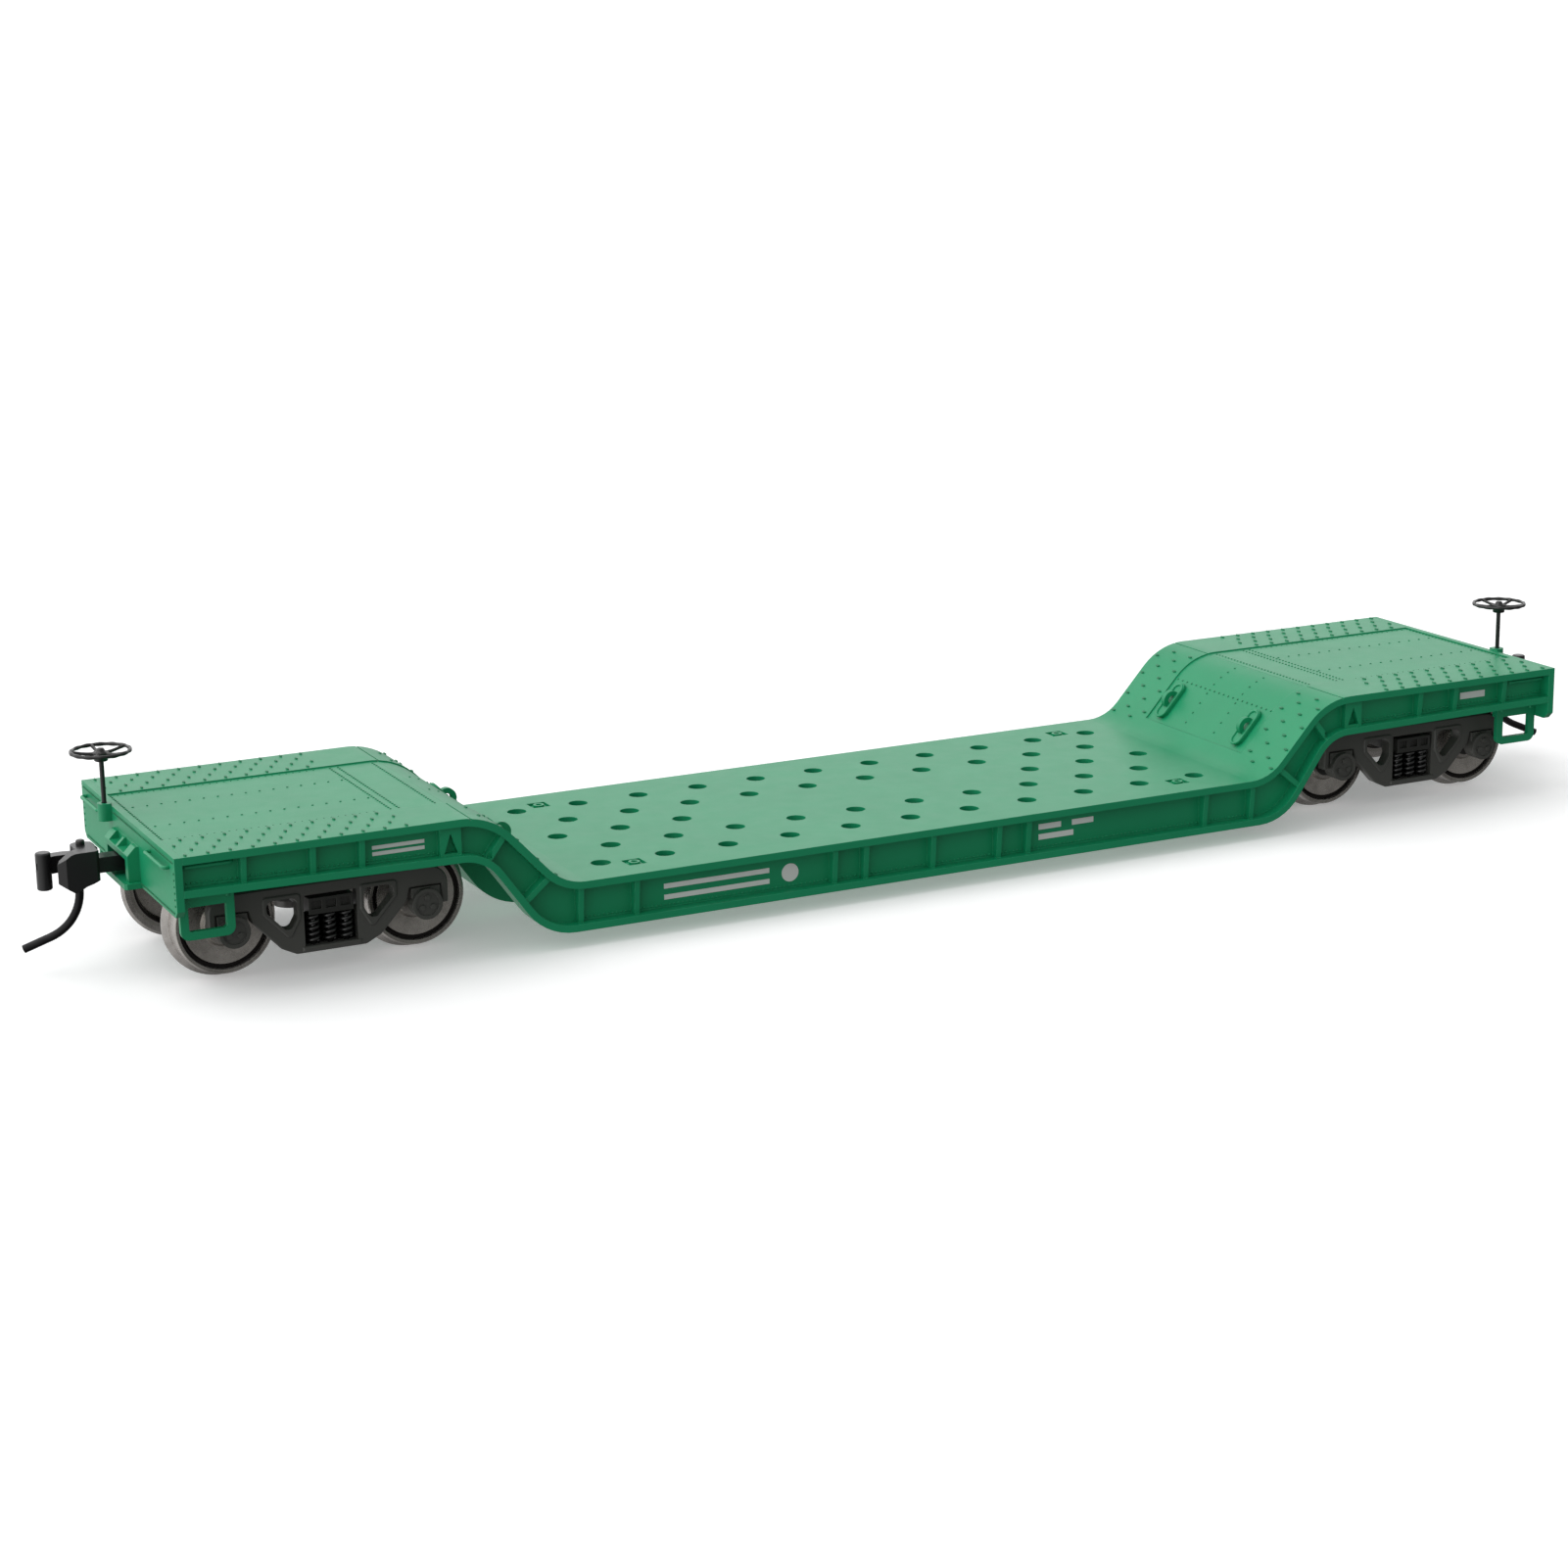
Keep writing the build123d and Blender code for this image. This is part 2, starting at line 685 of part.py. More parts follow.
def add_screw(point, head_foot, length):
    """Pan-head screw driven upwards; a cross recess is cut in the head from below."""
    standing = (Align.CENTER, Align.CENTER, Align.MIN)
    with Locations((*point, head_foot)):
        Cylinder(screw_head_radius, head_height, align=standing)
        Cylinder(screw_radius, head_height + length, align=standing)
        Box(cross_length, cross_width, 2 * cross_depth, mode=Mode.SUBTRACT)
        Box(cross_width, cross_length, 2 * cross_depth, mode=Mode.SUBTRACT)


pan_screw_length = 2.5
draft_screw_length = 3.9
with BuildPart() as frame_screws:
    for point in pan_screws:
        add_screw(point, pan_bottom - head_height, pan_screw_length)
    for sign in (-1, 1):
        add_screw((sign * coupler_pivot, 0), lid_bottom - head_height, draft_screw_length)
write("frame_screws", frame_screws.part)

kingpin_head = 1.0
kingpin_head_radius = 2.0
kingpin_length = 9.4
kingpin_slot = (2.6, 0.5, 1.2)
truck_bolster_bottom = 5.1
with BuildPart() as kingpin:
    slot_length, slot_width, slot_height = kingpin_slot
    with Locations((truck_centre, 0, truck_bolster_bottom - pivot_gap - kingpin_head)):
        Cylinder(kingpin_head_radius, kingpin_head, align=(Align.CENTER, Align.CENTER, Align.MIN))
        Cylinder(kingpin_radius, kingpin_length, align=(Align.CENTER, Align.CENTER, Align.MIN))
        Box(slot_length, slot_width, slot_height, mode=Mode.SUBTRACT)
        Box(slot_width, slot_length, slot_height, mode=Mode.SUBTRACT)

for end, place in ENDS.items():
    write(f"body_bolster_{end}", body_bolster.part, place)
    write(f"kingpin_{end}", kingpin.part, place)


# ---------------------------------------------------------------- steps and grab irons
step_left = 77.6
step_right = 83.15
step_bottom = 6.35
step_bar = 0.85
step_top = 11.25
step_plate = 0.6
step_tie = 9.7
step_back = 14.3
step_back_top = 12.6
step_corner = 0.9
step_inner_corner = 0.3

with BuildPart() as stirrup_steps:
    for sign in (-1, 1):
        with BuildSketch(Plane.XZ.offset(web_inner - step_plate)):
            with BuildLine():
                FilletPolyline(
                    (sign * step_left, step_top), (sign * step_left, step_bottom),
                    (sign * step_right, step_bottom), (sign * step_right, step_top),
                    radius=step_corner,
                )
                Line((sign * step_right, step_top), (sign * step_left, step_top))
            make_face()
            with BuildLine():
                FilletPolyline(
                    (sign * (step_left + step_bar), step_tie),
                    (sign * (step_left + step_bar), step_bottom + step_bar),
                    (sign * (step_right - step_bar), step_bottom + step_bar),
                    (sign * (step_right - step_bar), step_tie),
                    radius=step_inner_corner,
                )
                Line(
                    (sign * (step_right - step_bar), step_tie),
                    (sign * (step_left + step_bar), step_tie),
                )
            make_face(mode=Mode.SUBTRACT)
        extrude(amount=step_plate)
        with BuildSketch(Plane.XZ.offset(step_back)):
            with Locations((sign * (step_left + step_right) / 2, (step_tie + step_back_top) / 2)):
                Rectangle(step_right - step_left, step_back_top - step_tie)
        extrude(amount=flange_inner - step_back)
    add(stirrup_steps.part.rotate(Axis.Z, 180))
write("stirrup_steps", stirrup_steps.part)

side_iron = (78.0, 82.9, 14.2)
end_iron = (9.0, 15.6, 14.2)
iron_stand = 0.6
iron_bend = 0.35

with BuildPart() as grab_irons:
    left, right, height = side_iron
    web_face = -(web_inner + web_plate)
    for sign in (-1, 1):
        with BuildLine():
            rail = FilletPolyline(
                (sign * left, web_face, height), (sign * left, web_face - iron_stand, height),
                (sign * right, web_face - iron_stand, height), (sign * right, web_face, height),
                radius=iron_bend,
            )
        with BuildSketch(Plane(origin=rail @ 0, z_dir=rail % 0)):
            Circle(wire)
        sweep(path=rail)
    near, far, height = end_iron
    for sign in (-1, 1):
        with BuildLine():
            rail = FilletPolyline(
                (half_length, sign * near, height), (half_length + iron_stand, sign * near, height),
                (half_length + iron_stand, sign * far, height), (half_length, sign * far, height),
                radius=iron_bend,
            )
        with BuildSketch(Plane(origin=rail @ 0, z_dir=rail % 0)):
            Circle(wire)
        sweep(path=rail)
    add(grab_irons.part.rotate(Axis.Z, 180))
write("grab_irons", grab_irons.part)


# ---------------------------------------------------------------- brake staffs
with BuildPart() as brake_staff:
    with Locations((boss_x, -boss_y, boss_bottom)):
        Cylinder(
            staff_radius, brake_wheel_height - boss_bottom,
            align=(Align.CENTER, Align.CENTER, Align.MIN),
        )

hub_radius = 0.72
hub_drop = 1.1
hub_rise = 0.25
hub_disc_radius = 1.25
spoke_width = 0.5
spoke_plate = 0.24
with BuildPart() as brake_wheel:
    with Locations((boss_x, -boss_y, brake_wheel_height)):
        Torus(brake_rim_radius, brake_rim_wire)
    with BuildSketch(Plane.XY.offset(brake_wheel_height - spoke_plate / 2)):
        with Locations((boss_x, -boss_y)):
            with PolarLocations(brake_rim_radius / 2, brake_spokes):
                Rectangle(brake_rim_radius, spoke_width)
            Circle(hub_disc_radius)
    extrude(amount=spoke_plate)
    with BuildSketch(Plane.XY.offset(brake_wheel_height - hub_drop)):
        with Locations((boss_x, -boss_y)):
            Circle(hub_radius)
    extrude(amount=hub_drop + hub_rise)
    with Locations((boss_x, -boss_y, boss_bottom)):
        Cylinder(
            staff_radius, brake_wheel_height - boss_bottom,
            align=(Align.CENTER, Align.CENTER, Align.MIN), mode=Mode.SUBTRACT,
        )

for end, place in ENDS.items():
    write(f"brake_staff_{end}", brake_staff.part, place)
    write(f"brake_wheel_{end}", brake_wheel.part, place)


# ---------------------------------------------------------------- trucks, drawn about the kingpin
frame_top = 9.7
frame_bottom = 2.5
pedestal_inner = 8.5
pedestal_outer = 11.9
pedestal_roof = 7.7
leg_outer = 12.6
leg_bottom = 5.7
window_half = 2.8
window_top = 8.5
lip_width = 0.4
lip_proud = 0.2
sill_lip = 0.5
sill_overhang = 0.3
side_window = ((3.5, 8.5), (6.7, 8.5), (6.7, 7.3), (4.4, 4.8), (3.5, 6.4))
window_rounding = 0.7
corner_rounding = 1.9
foot_rounding = 0.8
rim_chamfer = 0.12


def window_outline(sign):
    """Corners of the triangular window on one side of the springs."""
    return [(sign * x, z) for x, z in side_window]


with BuildPart() as side_frame:
    with BuildSketch(Plane.XZ.offset(frame_inner)):
        with BuildLine():
            Polyline(
                (0, frame_top), (leg_outer, frame_top), (leg_outer, leg_bottom),
                (pedestal_outer, leg_bottom), (pedestal_outer, pedestal_roof),
                (pedestal_inner, pedestal_roof), (8.2, 6.4), (5.3, 3.3), (3.7, frame_bottom),
                (0, frame_bottom), close=True,
            )
        make_face()
        mirror(about=Plane.YZ)
        with Locations((0, (window_top + spring_seat) / 2)):
            Rectangle(2 * window_half, window_top - spring_seat, mode=Mode.SUBTRACT)
        for sign in (-1, 1):
            with BuildLine():
                Polyline(*window_outline(sign), close=True)
            make_face(mode=Mode.SUBTRACT)
    extrude(amount=frame_plate)
    with BuildSketch(Plane.XZ.offset(frame_inner + frame_plate)):
        for sign in (-1, 1):
            with BuildLine():
                outline = Polyline(*window_outline(sign), close=True)
                offset(outline, amount=lip_width)
            make_face()
            with BuildLine():
                Polyline(*window_outline(sign), close=True)
            make_face(mode=Mode.SUBTRACT)
        with Locations((0, spring_seat - sill_lip / 2)):
            Rectangle(2 * (window_half + sill_overhang), sill_lip)
    extrude(amount=lip_proud)
    uprights = side_frame.edges().filter_by(Axis.Y)
    ends = uprights.filter_by(lambda edge: abs(edge.center().X) > leg_outer - 0.1)
    fillet(ends.group_by(Axis.Z)[-1], radius=corner_rounding)
    elbows = side_frame.edges().filter_by(Axis.Y).filter_by(
        lambda edge: 3.4 < abs(edge.center().X) < 6.8 and 4.6 < edge.center().Z < 8.6
    )
    fillet(elbows, radius=window_rounding)
    feet = side_frame.edges().filter_by(Axis.Y).filter_by(
        lambda edge: 3.6 < abs(edge.center().X) < 5.4 and edge.center().Z < 3.4
    )
    fillet(feet, radius=foot_rounding)
    relief = side_frame.faces().filter_by(Axis.Y).group_by(Axis.Y)
    rims = [edge for face in relief[0] + relief[1] for edge in face.outer_wire().edges()]
    chamfer(rims, length=rim_chamfer)

adapter_top = pedestal_roof - 0.1
adapter_width = 3.1
cap_recess_radius = 1.25
cap_recess = 0.2
cap_bolts = 3
cap_bolt_circle = 0.68
cap_bolt_radius = 0.3
cap_bolt_height = 0.25
with BuildPart() as bearing_cap:
    with BuildSketch(Plane.XZ.offset(frame_inner)):
        with Locations((axle_offset, axle_height)):
            Circle(cap_radius)
        with Locations(((pedestal_inner + pedestal_outer) / 2, (axle_height + adapter_top) / 2)):
            Rectangle(adapter_width, adapter_top - axle_height)
    extrude(amount=frame_plate)
    with BuildSketch(Plane.XZ.offset(frame_inner + frame_plate)):
        with Locations((axle_offset, axle_height)):
            Circle(cap_radius)
            Circle(cap_recess_radius, mode=Mode.SUBTRACT)
    extrude(amount=cap_face - frame_inner - frame_plate)
    with BuildSketch(Plane.XZ.offset(frame_inner + frame_plate)):
        with Locations((axle_offset, axle_height)):
            Circle(cap_recess_radius)
    extrude(amount=cap_face - frame_inner - frame_plate - cap_recess)
    with BuildSketch(Plane.XZ.offset(cap_face - cap_recess)):
        with Locations((axle_offset, axle_height)):
            with PolarLocations(cap_bolt_circle, cap_bolts, start_angle=90):
                Circle(cap_bolt_radius)
    extrude(amount=cap_bolt_height)
    with BuildSketch(Plane.XY.offset(axle_height)):
        with BuildLine():
            Polyline(
                (axle_offset, -frame_inner), (axle_offset + journal_radius, -frame_inner),
                (axle_offset, -cup_tip), close=True,
            )
        make_face()
    revolve(axis=Axis((axle_offset, 0, axle_height), (0, 1, 0)), mode=Mode.SUBTRACT)

with BuildPart() as bearing_caps:
    add(bearing_cap.part)
    add(mirror(bearing_cap.part, about=Plane.YZ, mode=Mode.PRIVATE))
    add(mirror(bearing_caps.part, about=Plane.XZ, mode=Mode.PRIVATE))

spring_row = 12.3            # distance of the springs from the centreline
spring_core = 0.45
spring_wire_share = 0.6
with BuildPart() as springs:
    for side in (-1, 1):
        for step in (-1, 0, 1):
            pitch = (bolster_seat - spring_seat) / spring_turns
            for turn in range(spring_turns):
                with Locations((step * spring_pitch, side * spring_row, spring_seat + turn * pitch)):
                    Cylinder(spring_core, pitch, align=(Align.CENTER, Align.CENTER, Align.MIN))
                    Cylinder(
                        spring_radius, spring_wire_share * pitch,
                        align=(Align.CENTER, Align.CENTER, Align.MIN),
                    )

bolster_end = 13.2
bolster_end_top = 8.2
bolster_gap = 0.3
pocket_pitch = 1.52
pocket_centre = 7.45
pocket_length = 1.05
pocket_height = 0.85
pocket_depth = 0.4
with BuildPart() as truck_bolster:
    with BuildSketch(Plane.XZ.offset(-bolster_end)):
        with Locations((0, (bolster_seat + bolster_end_top) / 2)):
            Rectangle(2 * bolster_half, bolster_end_top - bolster_seat)
    extrude(amount=2 * bolster_end)
    for side in (-1, 1):
        with BuildSketch(Plane.XZ.offset(side * bolster_end)):
            for step in (-1, 0, 1):
                with Locations((step * pocket_pitch, pocket_centre)):
                    Rectangle(pocket_length, pocket_height)
        extrude(amount=-side * pocket_depth, mode=Mode.SUBTRACT)
    with BuildSketch(Plane.XZ.offset(-(frame_inner - bolster_gap))):
        with Locations((0, (bolster_seat + bolster_top) / 2)):
            Rectangle(2 * bolster_half, bolster_top - bolster_seat)
    extrude(amount=2 * (frame_inner - bolster_gap))
    with BuildSketch(Plane.XY.offset(truck_bolster_bottom)):
        Circle(plate_radius)
    extrude(amount=plate_top - truck_bolster_bottom)
    with BuildSketch(Plane.XY.offset(truck_bolster_bottom)):
        Circle(kingpin_radius + running)
    extrude(amount=plate_top - truck_bolster_bottom, mode=Mode.SUBTRACT)


# ---------------------------------------------------------------- wheelsets, drawn about the axle's middle
journal_shoulder = 10.6
journal = journal_radius - running
needle_tip = cup_tip - running * (cup_tip - frame_inner) / journal_radius
bush_radius = 1.75
plate_face = wheel_back + wheel_width

with BuildPart() as axle:
    with BuildSketch(Plane.YZ):
        with BuildLine():
            Polyline(
                (-needle_tip, 0), (-frame_inner, journal), (-journal_shoulder, journal),
                (-journal_shoulder, axle_radius), (journal_shoulder, axle_radius),
                (journal_shoulder, journal), (frame_inner, journal), (needle_tip, 0), close=True,
            )
        make_face()
    revolve(axis=Axis.Y)


def wheel_section(bore):
    """Half section of a wheel: flange, coned tread, rim lip, groove, dished plate and hub."""
    back, face = wheel_back, plate_face
    Polyline(
        (back, bore), (back, 2.4), (back + 0.9, 2.7), (back + 0.9, 4.2), (back, 4.5),
        (back, flange_radius - 0.3), (back + 0.2, flange_radius), (back + 0.5, flange_radius),
        (back + 0.85, tread_radius + 0.08), (face - 0.15, tread_radius - 0.03),
        (face, tread_radius - 0.2), (face, 4.75), (face - 0.6, 4.65), (face - 0.6, 4.35),
        (face - 0.25, 4.2), (face - 0.5, 2.4), (face, 2.1), (face, bore), close=True,
    )


with BuildPart() as plain_wheel:
    with BuildSketch(Plane.YZ):
        with BuildLine():
            wheel_section(axle_radius)
        make_face()
    revolve(axis=Axis.Y)

with BuildPart() as bushed_wheel:
    with BuildSketch(Plane.YZ):
        with BuildLine():
            wheel_section(bush_radius)
        make_face()
    revolve(axis=Axis.Y)

with BuildPart() as wheel_pair:
    add(plain_wheel.part)
    add(bushed_wheel.part.rotate(Axis.Z, 180))

with BuildPart() as bush:
    with BuildSketch(Plane.XZ.offset(wheel_back)):
        Circle(bush_radius)
        Circle(axle_radius, mode=Mode.SUBTRACT)
    extrude(amount=wheel_width)

for end, turn in ENDS.items():
    pivot = turn * Location((truck_centre, 0, 0))
    write(f"truck_bolster_{end}", truck_bolster.part, pivot)
    write(f"truck_springs_{end}", springs.part, pivot)
    write(f"bearing_caps_{end}", bearing_caps.part, pivot)
    write(f"side_frame_{end}_left", side_frame.part, pivot)
    write(f"side_frame_{end}_right", side_frame.part, pivot * Location((0, 0, 0), (0, 0, 180)))
    for name, offset_x in (("inner", -axle_offset), ("outer", axle_offset)):
        centre = pivot * Location((offset_x, 0, axle_height))
        write(f"axle_{end}_{name}", axle.part, centre)
        write(f"wheels_{end}_{name}", wheel_pair.part, centre)
        write(f"bush_{end}_{name}", bush.part, centre)
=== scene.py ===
"""Looks of the depressed-centre model flat car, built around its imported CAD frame.

Every length below is in metres, in the frame of the car: +X along it, +Z up, wheels standing on z = 0.
"""

import json
from math import cos, copysign, pi, radians, sin

import bpy
from mathutils import Matrix, Vector
from mathutils.bvhtree import BVHTree


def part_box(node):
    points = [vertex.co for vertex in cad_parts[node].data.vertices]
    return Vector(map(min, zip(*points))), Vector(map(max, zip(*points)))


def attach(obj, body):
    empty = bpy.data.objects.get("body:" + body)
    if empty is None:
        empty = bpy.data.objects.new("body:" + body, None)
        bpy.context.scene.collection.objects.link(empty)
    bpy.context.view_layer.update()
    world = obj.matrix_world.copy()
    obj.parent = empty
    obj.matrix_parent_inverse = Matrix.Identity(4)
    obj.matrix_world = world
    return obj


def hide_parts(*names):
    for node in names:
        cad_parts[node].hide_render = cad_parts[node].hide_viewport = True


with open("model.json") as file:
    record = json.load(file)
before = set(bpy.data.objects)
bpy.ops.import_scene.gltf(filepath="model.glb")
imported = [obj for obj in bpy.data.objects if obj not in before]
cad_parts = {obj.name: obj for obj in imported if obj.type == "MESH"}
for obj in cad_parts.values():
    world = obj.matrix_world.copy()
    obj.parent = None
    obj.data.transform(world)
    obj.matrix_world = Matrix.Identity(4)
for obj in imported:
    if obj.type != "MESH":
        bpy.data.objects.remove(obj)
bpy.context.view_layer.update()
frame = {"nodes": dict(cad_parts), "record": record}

MM = 0.001
ENDS = {"a": -1, "b": 1}
SIDES = {"left": -1, "right": 1}
nodes = frame["nodes"]


# ---------------------------------------------------------------- materials
def shader(name):
    """A new material: its node tree, its links and its Principled shader."""
    material = bpy.data.materials.new(name)
    material.use_nodes = True
    tree = material.node_tree
    return material, tree, tree.nodes["Principled BSDF"]


def noise(tree, size, detail=4.0, roughness=0.55, stretch=(1, 1, 1)):
    """Noise with features of a given size, in object coordinates, optionally stretched."""
    place = tree.nodes.new("ShaderNodeTexCoord")
    mapping = tree.nodes.new("ShaderNodeMapping")
    mapping.inputs["Scale"].default_value = stretch
    texture = tree.nodes.new("ShaderNodeTexNoise")
    texture.inputs["Scale"].default_value = 1 / size
    texture.inputs["Detail"].default_value = detail
    texture.inputs["Roughness"].default_value = roughness
    tree.links.new(place.outputs["Object"], mapping.inputs["Vector"])
    tree.links.new(mapping.outputs["Vector"], texture.inputs["Vector"])
    return texture.outputs["Fac"]


def ramp(tree, source, low, high, start=0.3, stop=0.7):
    """Colour between low and high as source goes from start to stop."""
    node = tree.nodes.new("ShaderNodeValToRGB")
    node.color_ramp.elements[0].position = start
    node.color_ramp.elements[1].position = stop
    node.color_ramp.elements[0].color = (*low, 1)
    node.color_ramp.elements[1].color = (*high, 1)
    tree.links.new(source, node.inputs["Fac"])
    return node.outputs["Color"]


def spread(tree, source, low, high, start=0.3, stop=0.7):
    """Number between low and high as source goes from start to stop."""
    node = tree.nodes.new("ShaderNodeMapRange")
    node.inputs["From Min"].default_value = start
    node.inputs["From Max"].default_value = stop
    node.inputs["To Min"].default_value = low
    node.inputs["To Max"].default_value = high
    tree.links.new(source, node.inputs["Value"])
    return node.outputs["Result"]


def mixed(tree, share, under, over):
    """Colour under, covered by colour over where share is one."""
    node = tree.nodes.new("ShaderNodeMix")
    node.data_type = "RGBA"
    tree.links.new(share, node.inputs["Factor"])
    for colour, socket in ((under, node.inputs["A"]), (over, node.inputs["B"])):
        if isinstance(colour, tuple):
            socket.default_value = (*colour, 1)
        else:
            tree.links.new(colour, socket)
    return node.outputs["Result"]


def round_edges(tree, principled, radius, bump_source, bump_depth):
    """Soft moulded edges under a fine surface bump."""
    edge = tree.nodes.new("ShaderNodeBevel")
    edge.samples = 6
    edge.inputs["Radius"].default_value = radius
    bump = tree.nodes.new("ShaderNodeBump")
    bump.inputs["Strength"].default_value = 1.0
    bump.inputs["Distance"].default_value = bump_depth
    tree.links.new(bump_source, bump.inputs["Height"])
    tree.links.new(edge.outputs["Normal"], bump.inputs["Normal"])
    tree.links.new(bump.outputs["Normal"], principled.inputs["Normal"])
    return edge


def edge_share(tree, edge, start, stop):
    """One along the convex and concave edges that the bevel node finds, zero on the flats."""
    geometry = tree.nodes.new("ShaderNodeNewGeometry")
    turn = tree.nodes.new("ShaderNodeVectorMath")
    turn.operation = "DOT_PRODUCT"
    tree.links.new(edge.outputs["Normal"], turn.inputs[0])
    tree.links.new(geometry.outputs["True Normal"], turn.inputs[1])
    return spread(tree, turn.outputs["Value"], 1.0, 0.0, start, stop)


def moulded(name, colour, roughness, edge_radius=0.09 * MM, worn=None, grain=3.5e-6, gloss=0.5):
    """Painted or self-coloured moulded plastic with a faint mottle, fine grain, and lighter patches along its
    edges: painted highlight on the edges together with wear.
    """
    material, tree, principled = shader(name)
    dark = tuple(0.96 * part for part in colour)
    light = tuple(min(1.0, 1.04 * part) for part in colour)
    mottle = ramp(tree, noise(tree, 7 * MM, detail=5.0), dark, light)
    fine = noise(tree, 0.12 * MM, detail=2.0)
    edge = round_edges(tree, principled, edge_radius, fine, grain)
    # The worn colour, laid in patches along the edges, paints the highlight that rounded edges catch as well
    # as wear.
    if worn:
        edge_highlight_and_wear = edge_share(tree, edge, 0.70, 0.985)
        patchy = spread(tree, noise(tree, 1.6 * MM, detail=6.0), 0.0, 0.75, 0.42, 0.62)
        both = tree.nodes.new("ShaderNodeMath")
        both.operation = "MULTIPLY"
        tree.links.new(edge_highlight_and_wear, both.inputs[0])
        tree.links.new(patchy, both.inputs[1])
        mottle = mixed(tree, both.outputs["Value"], mottle, worn)
    tree.links.new(mottle, principled.inputs["Base Color"])
    handled = spread(tree, noise(tree, 2.2 * MM, detail=6.0), roughness - 0.015, roughness + 0.02)
    tree.links.new(handled, principled.inputs["Roughness"])
    principled.inputs["Specular IOR Level"].default_value = gloss
    return material


def turned(name, centre, radius, bands, roughness):
    """Turned metal seen along the Y axis: tool marks in rings, and a colour for each band of radius."""
    material, tree, principled = shader(name)
    place = tree.nodes.new("ShaderNodeTexCoord")
    flat = tree.nodes.new("ShaderNodeVectorMath")
    flat.operation = "MULTIPLY"
    flat.inputs[1].default_value = (1, 0, 1)
    away = tree.nodes.new("ShaderNodeVectorMath")
    away.operation = "DISTANCE"
    away.inputs[1].default_value = (centre.x, 0, centre.z)
    tree.links.new(place.outputs["Object"], flat.inputs[0])
    tree.links.new(flat.outputs["Vector"], away.inputs[0])
    share = tree.nodes.new("ShaderNodeMath")
    share.operation = "DIVIDE"
    share.inputs[1].default_value = radius
    tree.links.new(away.outputs["Value"], share.inputs[0])
    colours = tree.nodes.new("ShaderNodeValToRGB")
    while len(colours.color_ramp.elements) < len(bands):
        colours.color_ramp.elements.new(0.5)
    for element, (position, colour) in zip(colours.color_ramp.elements, bands):
        element.position = position
        element.color = (*colour, 1)
    tree.links.new(share.outputs["Value"], colours.inputs["Fac"])
    stain = spread(tree, noise(tree, 1.4 * MM, detail=6.0), 0.0, 0.35, 0.45, 0.75)
    tree.links.new(mixed(tree, stain, colours.outputs["Color"], (0.05, 0.042, 0.036)),
                   principled.inputs["Base Color"])
    rings = tree.nodes.new("ShaderNodeMath")
    rings.operation = "SINE"
    pitch = tree.nodes.new("ShaderNodeMath")
    pitch.operation = "MULTIPLY"
    pitch.inputs[1].default_value = 2 * pi / (0.09 * MM)
    tree.links.new(away.outputs["Value"], pitch.inputs[0])
    tree.links.new(pitch.outputs["Value"], rings.inputs[0])
    round_edges(tree, principled, 0.07 * MM, rings.outputs["Value"], 0.8e-6)
    worn = spread(tree, noise(tree, 0.5 * MM, detail=5.0), roughness - 0.07, roughness + 0.1)
    tree.links.new(worn, principled.inputs["Roughness"])
    principled.inputs["Metallic"].default_value = 0.75
    return material


def metal(name, colour, roughness, grain_size, depth):
    """Plain metal with a fine grain and dull patches."""
    material, tree, principled = shader(name)
    dark = tuple(0.7 * part for part in colour)
    patches = ramp(tree, noise(tree, 1.5 * MM, detail=5.0), dark, colour)
    tree.links.new(patches, principled.inputs["Base Color"])
    round_edges(tree, principled, 0.06 * MM, noise(tree, grain_size, detail=3.0), depth)
    tree.links.new(spread(tree, noise(tree, 0.8 * MM), roughness - 0.06, roughness + 0.1),
                   principled.inputs["Roughness"])
    principled.inputs["Metallic"].default_value = 1.0
    return material


GREEN = (0.004, 0.270, 0.115)
green = moulded("green_plastic", GREEN, 0.40, worn=(0.03, 0.42, 0.20), gloss=0.45)
# Rivet heads on the deck and end plates take a darker copy of the body green: painted shade for their shaded
# sides and the shadows they cast.
shaded_rivet_green = moulded("green_rivets_painted_shade", (0.004, 0.17, 0.07), 0.38, edge_radius=0.03 * MM, gloss=0.38)
# The truck's black plastic in two copies: the side frames and bearing caps take a lighter one, painted lighter
# for the light on their outer faces; the bolster and the rest keep the darker one.
black = moulded("truck_plastic", (0.022, 0.023, 0.020), 0.34, worn=(0.05, 0.05, 0.046), grain=5e-6)
lit_frame_black = moulded("side_frame_plastic_painted_lit", (0.066, 0.068, 0.061), 0.42,
                      worn=(0.11, 0.11, 0.10), grain=5e-6)
spring_black = moulded("spring_plastic", (0.012, 0.012, 0.012), 0.20, edge_radius=0.03 * MM, gloss=0.7)
brake_black = moulded("brake_plastic", (0.009, 0.009, 0.009), 0.30, edge_radius=0.05 * MM)
cast_black = moulded("coupler_casting", (0.010, 0.010, 0.0105), 0.30, worn=(0.05, 0.048, 0.045), grain=9e-6)
white_print = moulded("white_print", (0.72, 0.74, 0.72), 0.5, edge_radius=0.01 * MM, grain=2e-6)
dark_screw = metal("blackened_screws", (0.09, 0.088, 0.085), 0.34, 0.15 * MM, 2e-6)
bronze = metal("spring_bronze", (0.5, 0.26, 0.13), 0.3, 0.1 * MM, 1e-6)
steel = metal("ballast_steel", (0.34, 0.33, 0.31), 0.42, 0.2 * MM, 4e-6)
wire_black = metal("trip_wire", (0.03, 0.03, 0.031), 0.32, 0.12 * MM, 2e-6)

SLOT_MATERIALS = {
    "green_body": green, "truck_black": black, "brake_black": brake_black, "coupler_black": cast_black,
    "pin_steel": dark_screw, "spring_bronze": bronze, "screw_steel": dark_screw,
    "ballast_steel": steel, "bush_black": black,
}
slot_of = {entry["node"]: entry["material_slot"] for entry in frame["record"]["subparts"]}

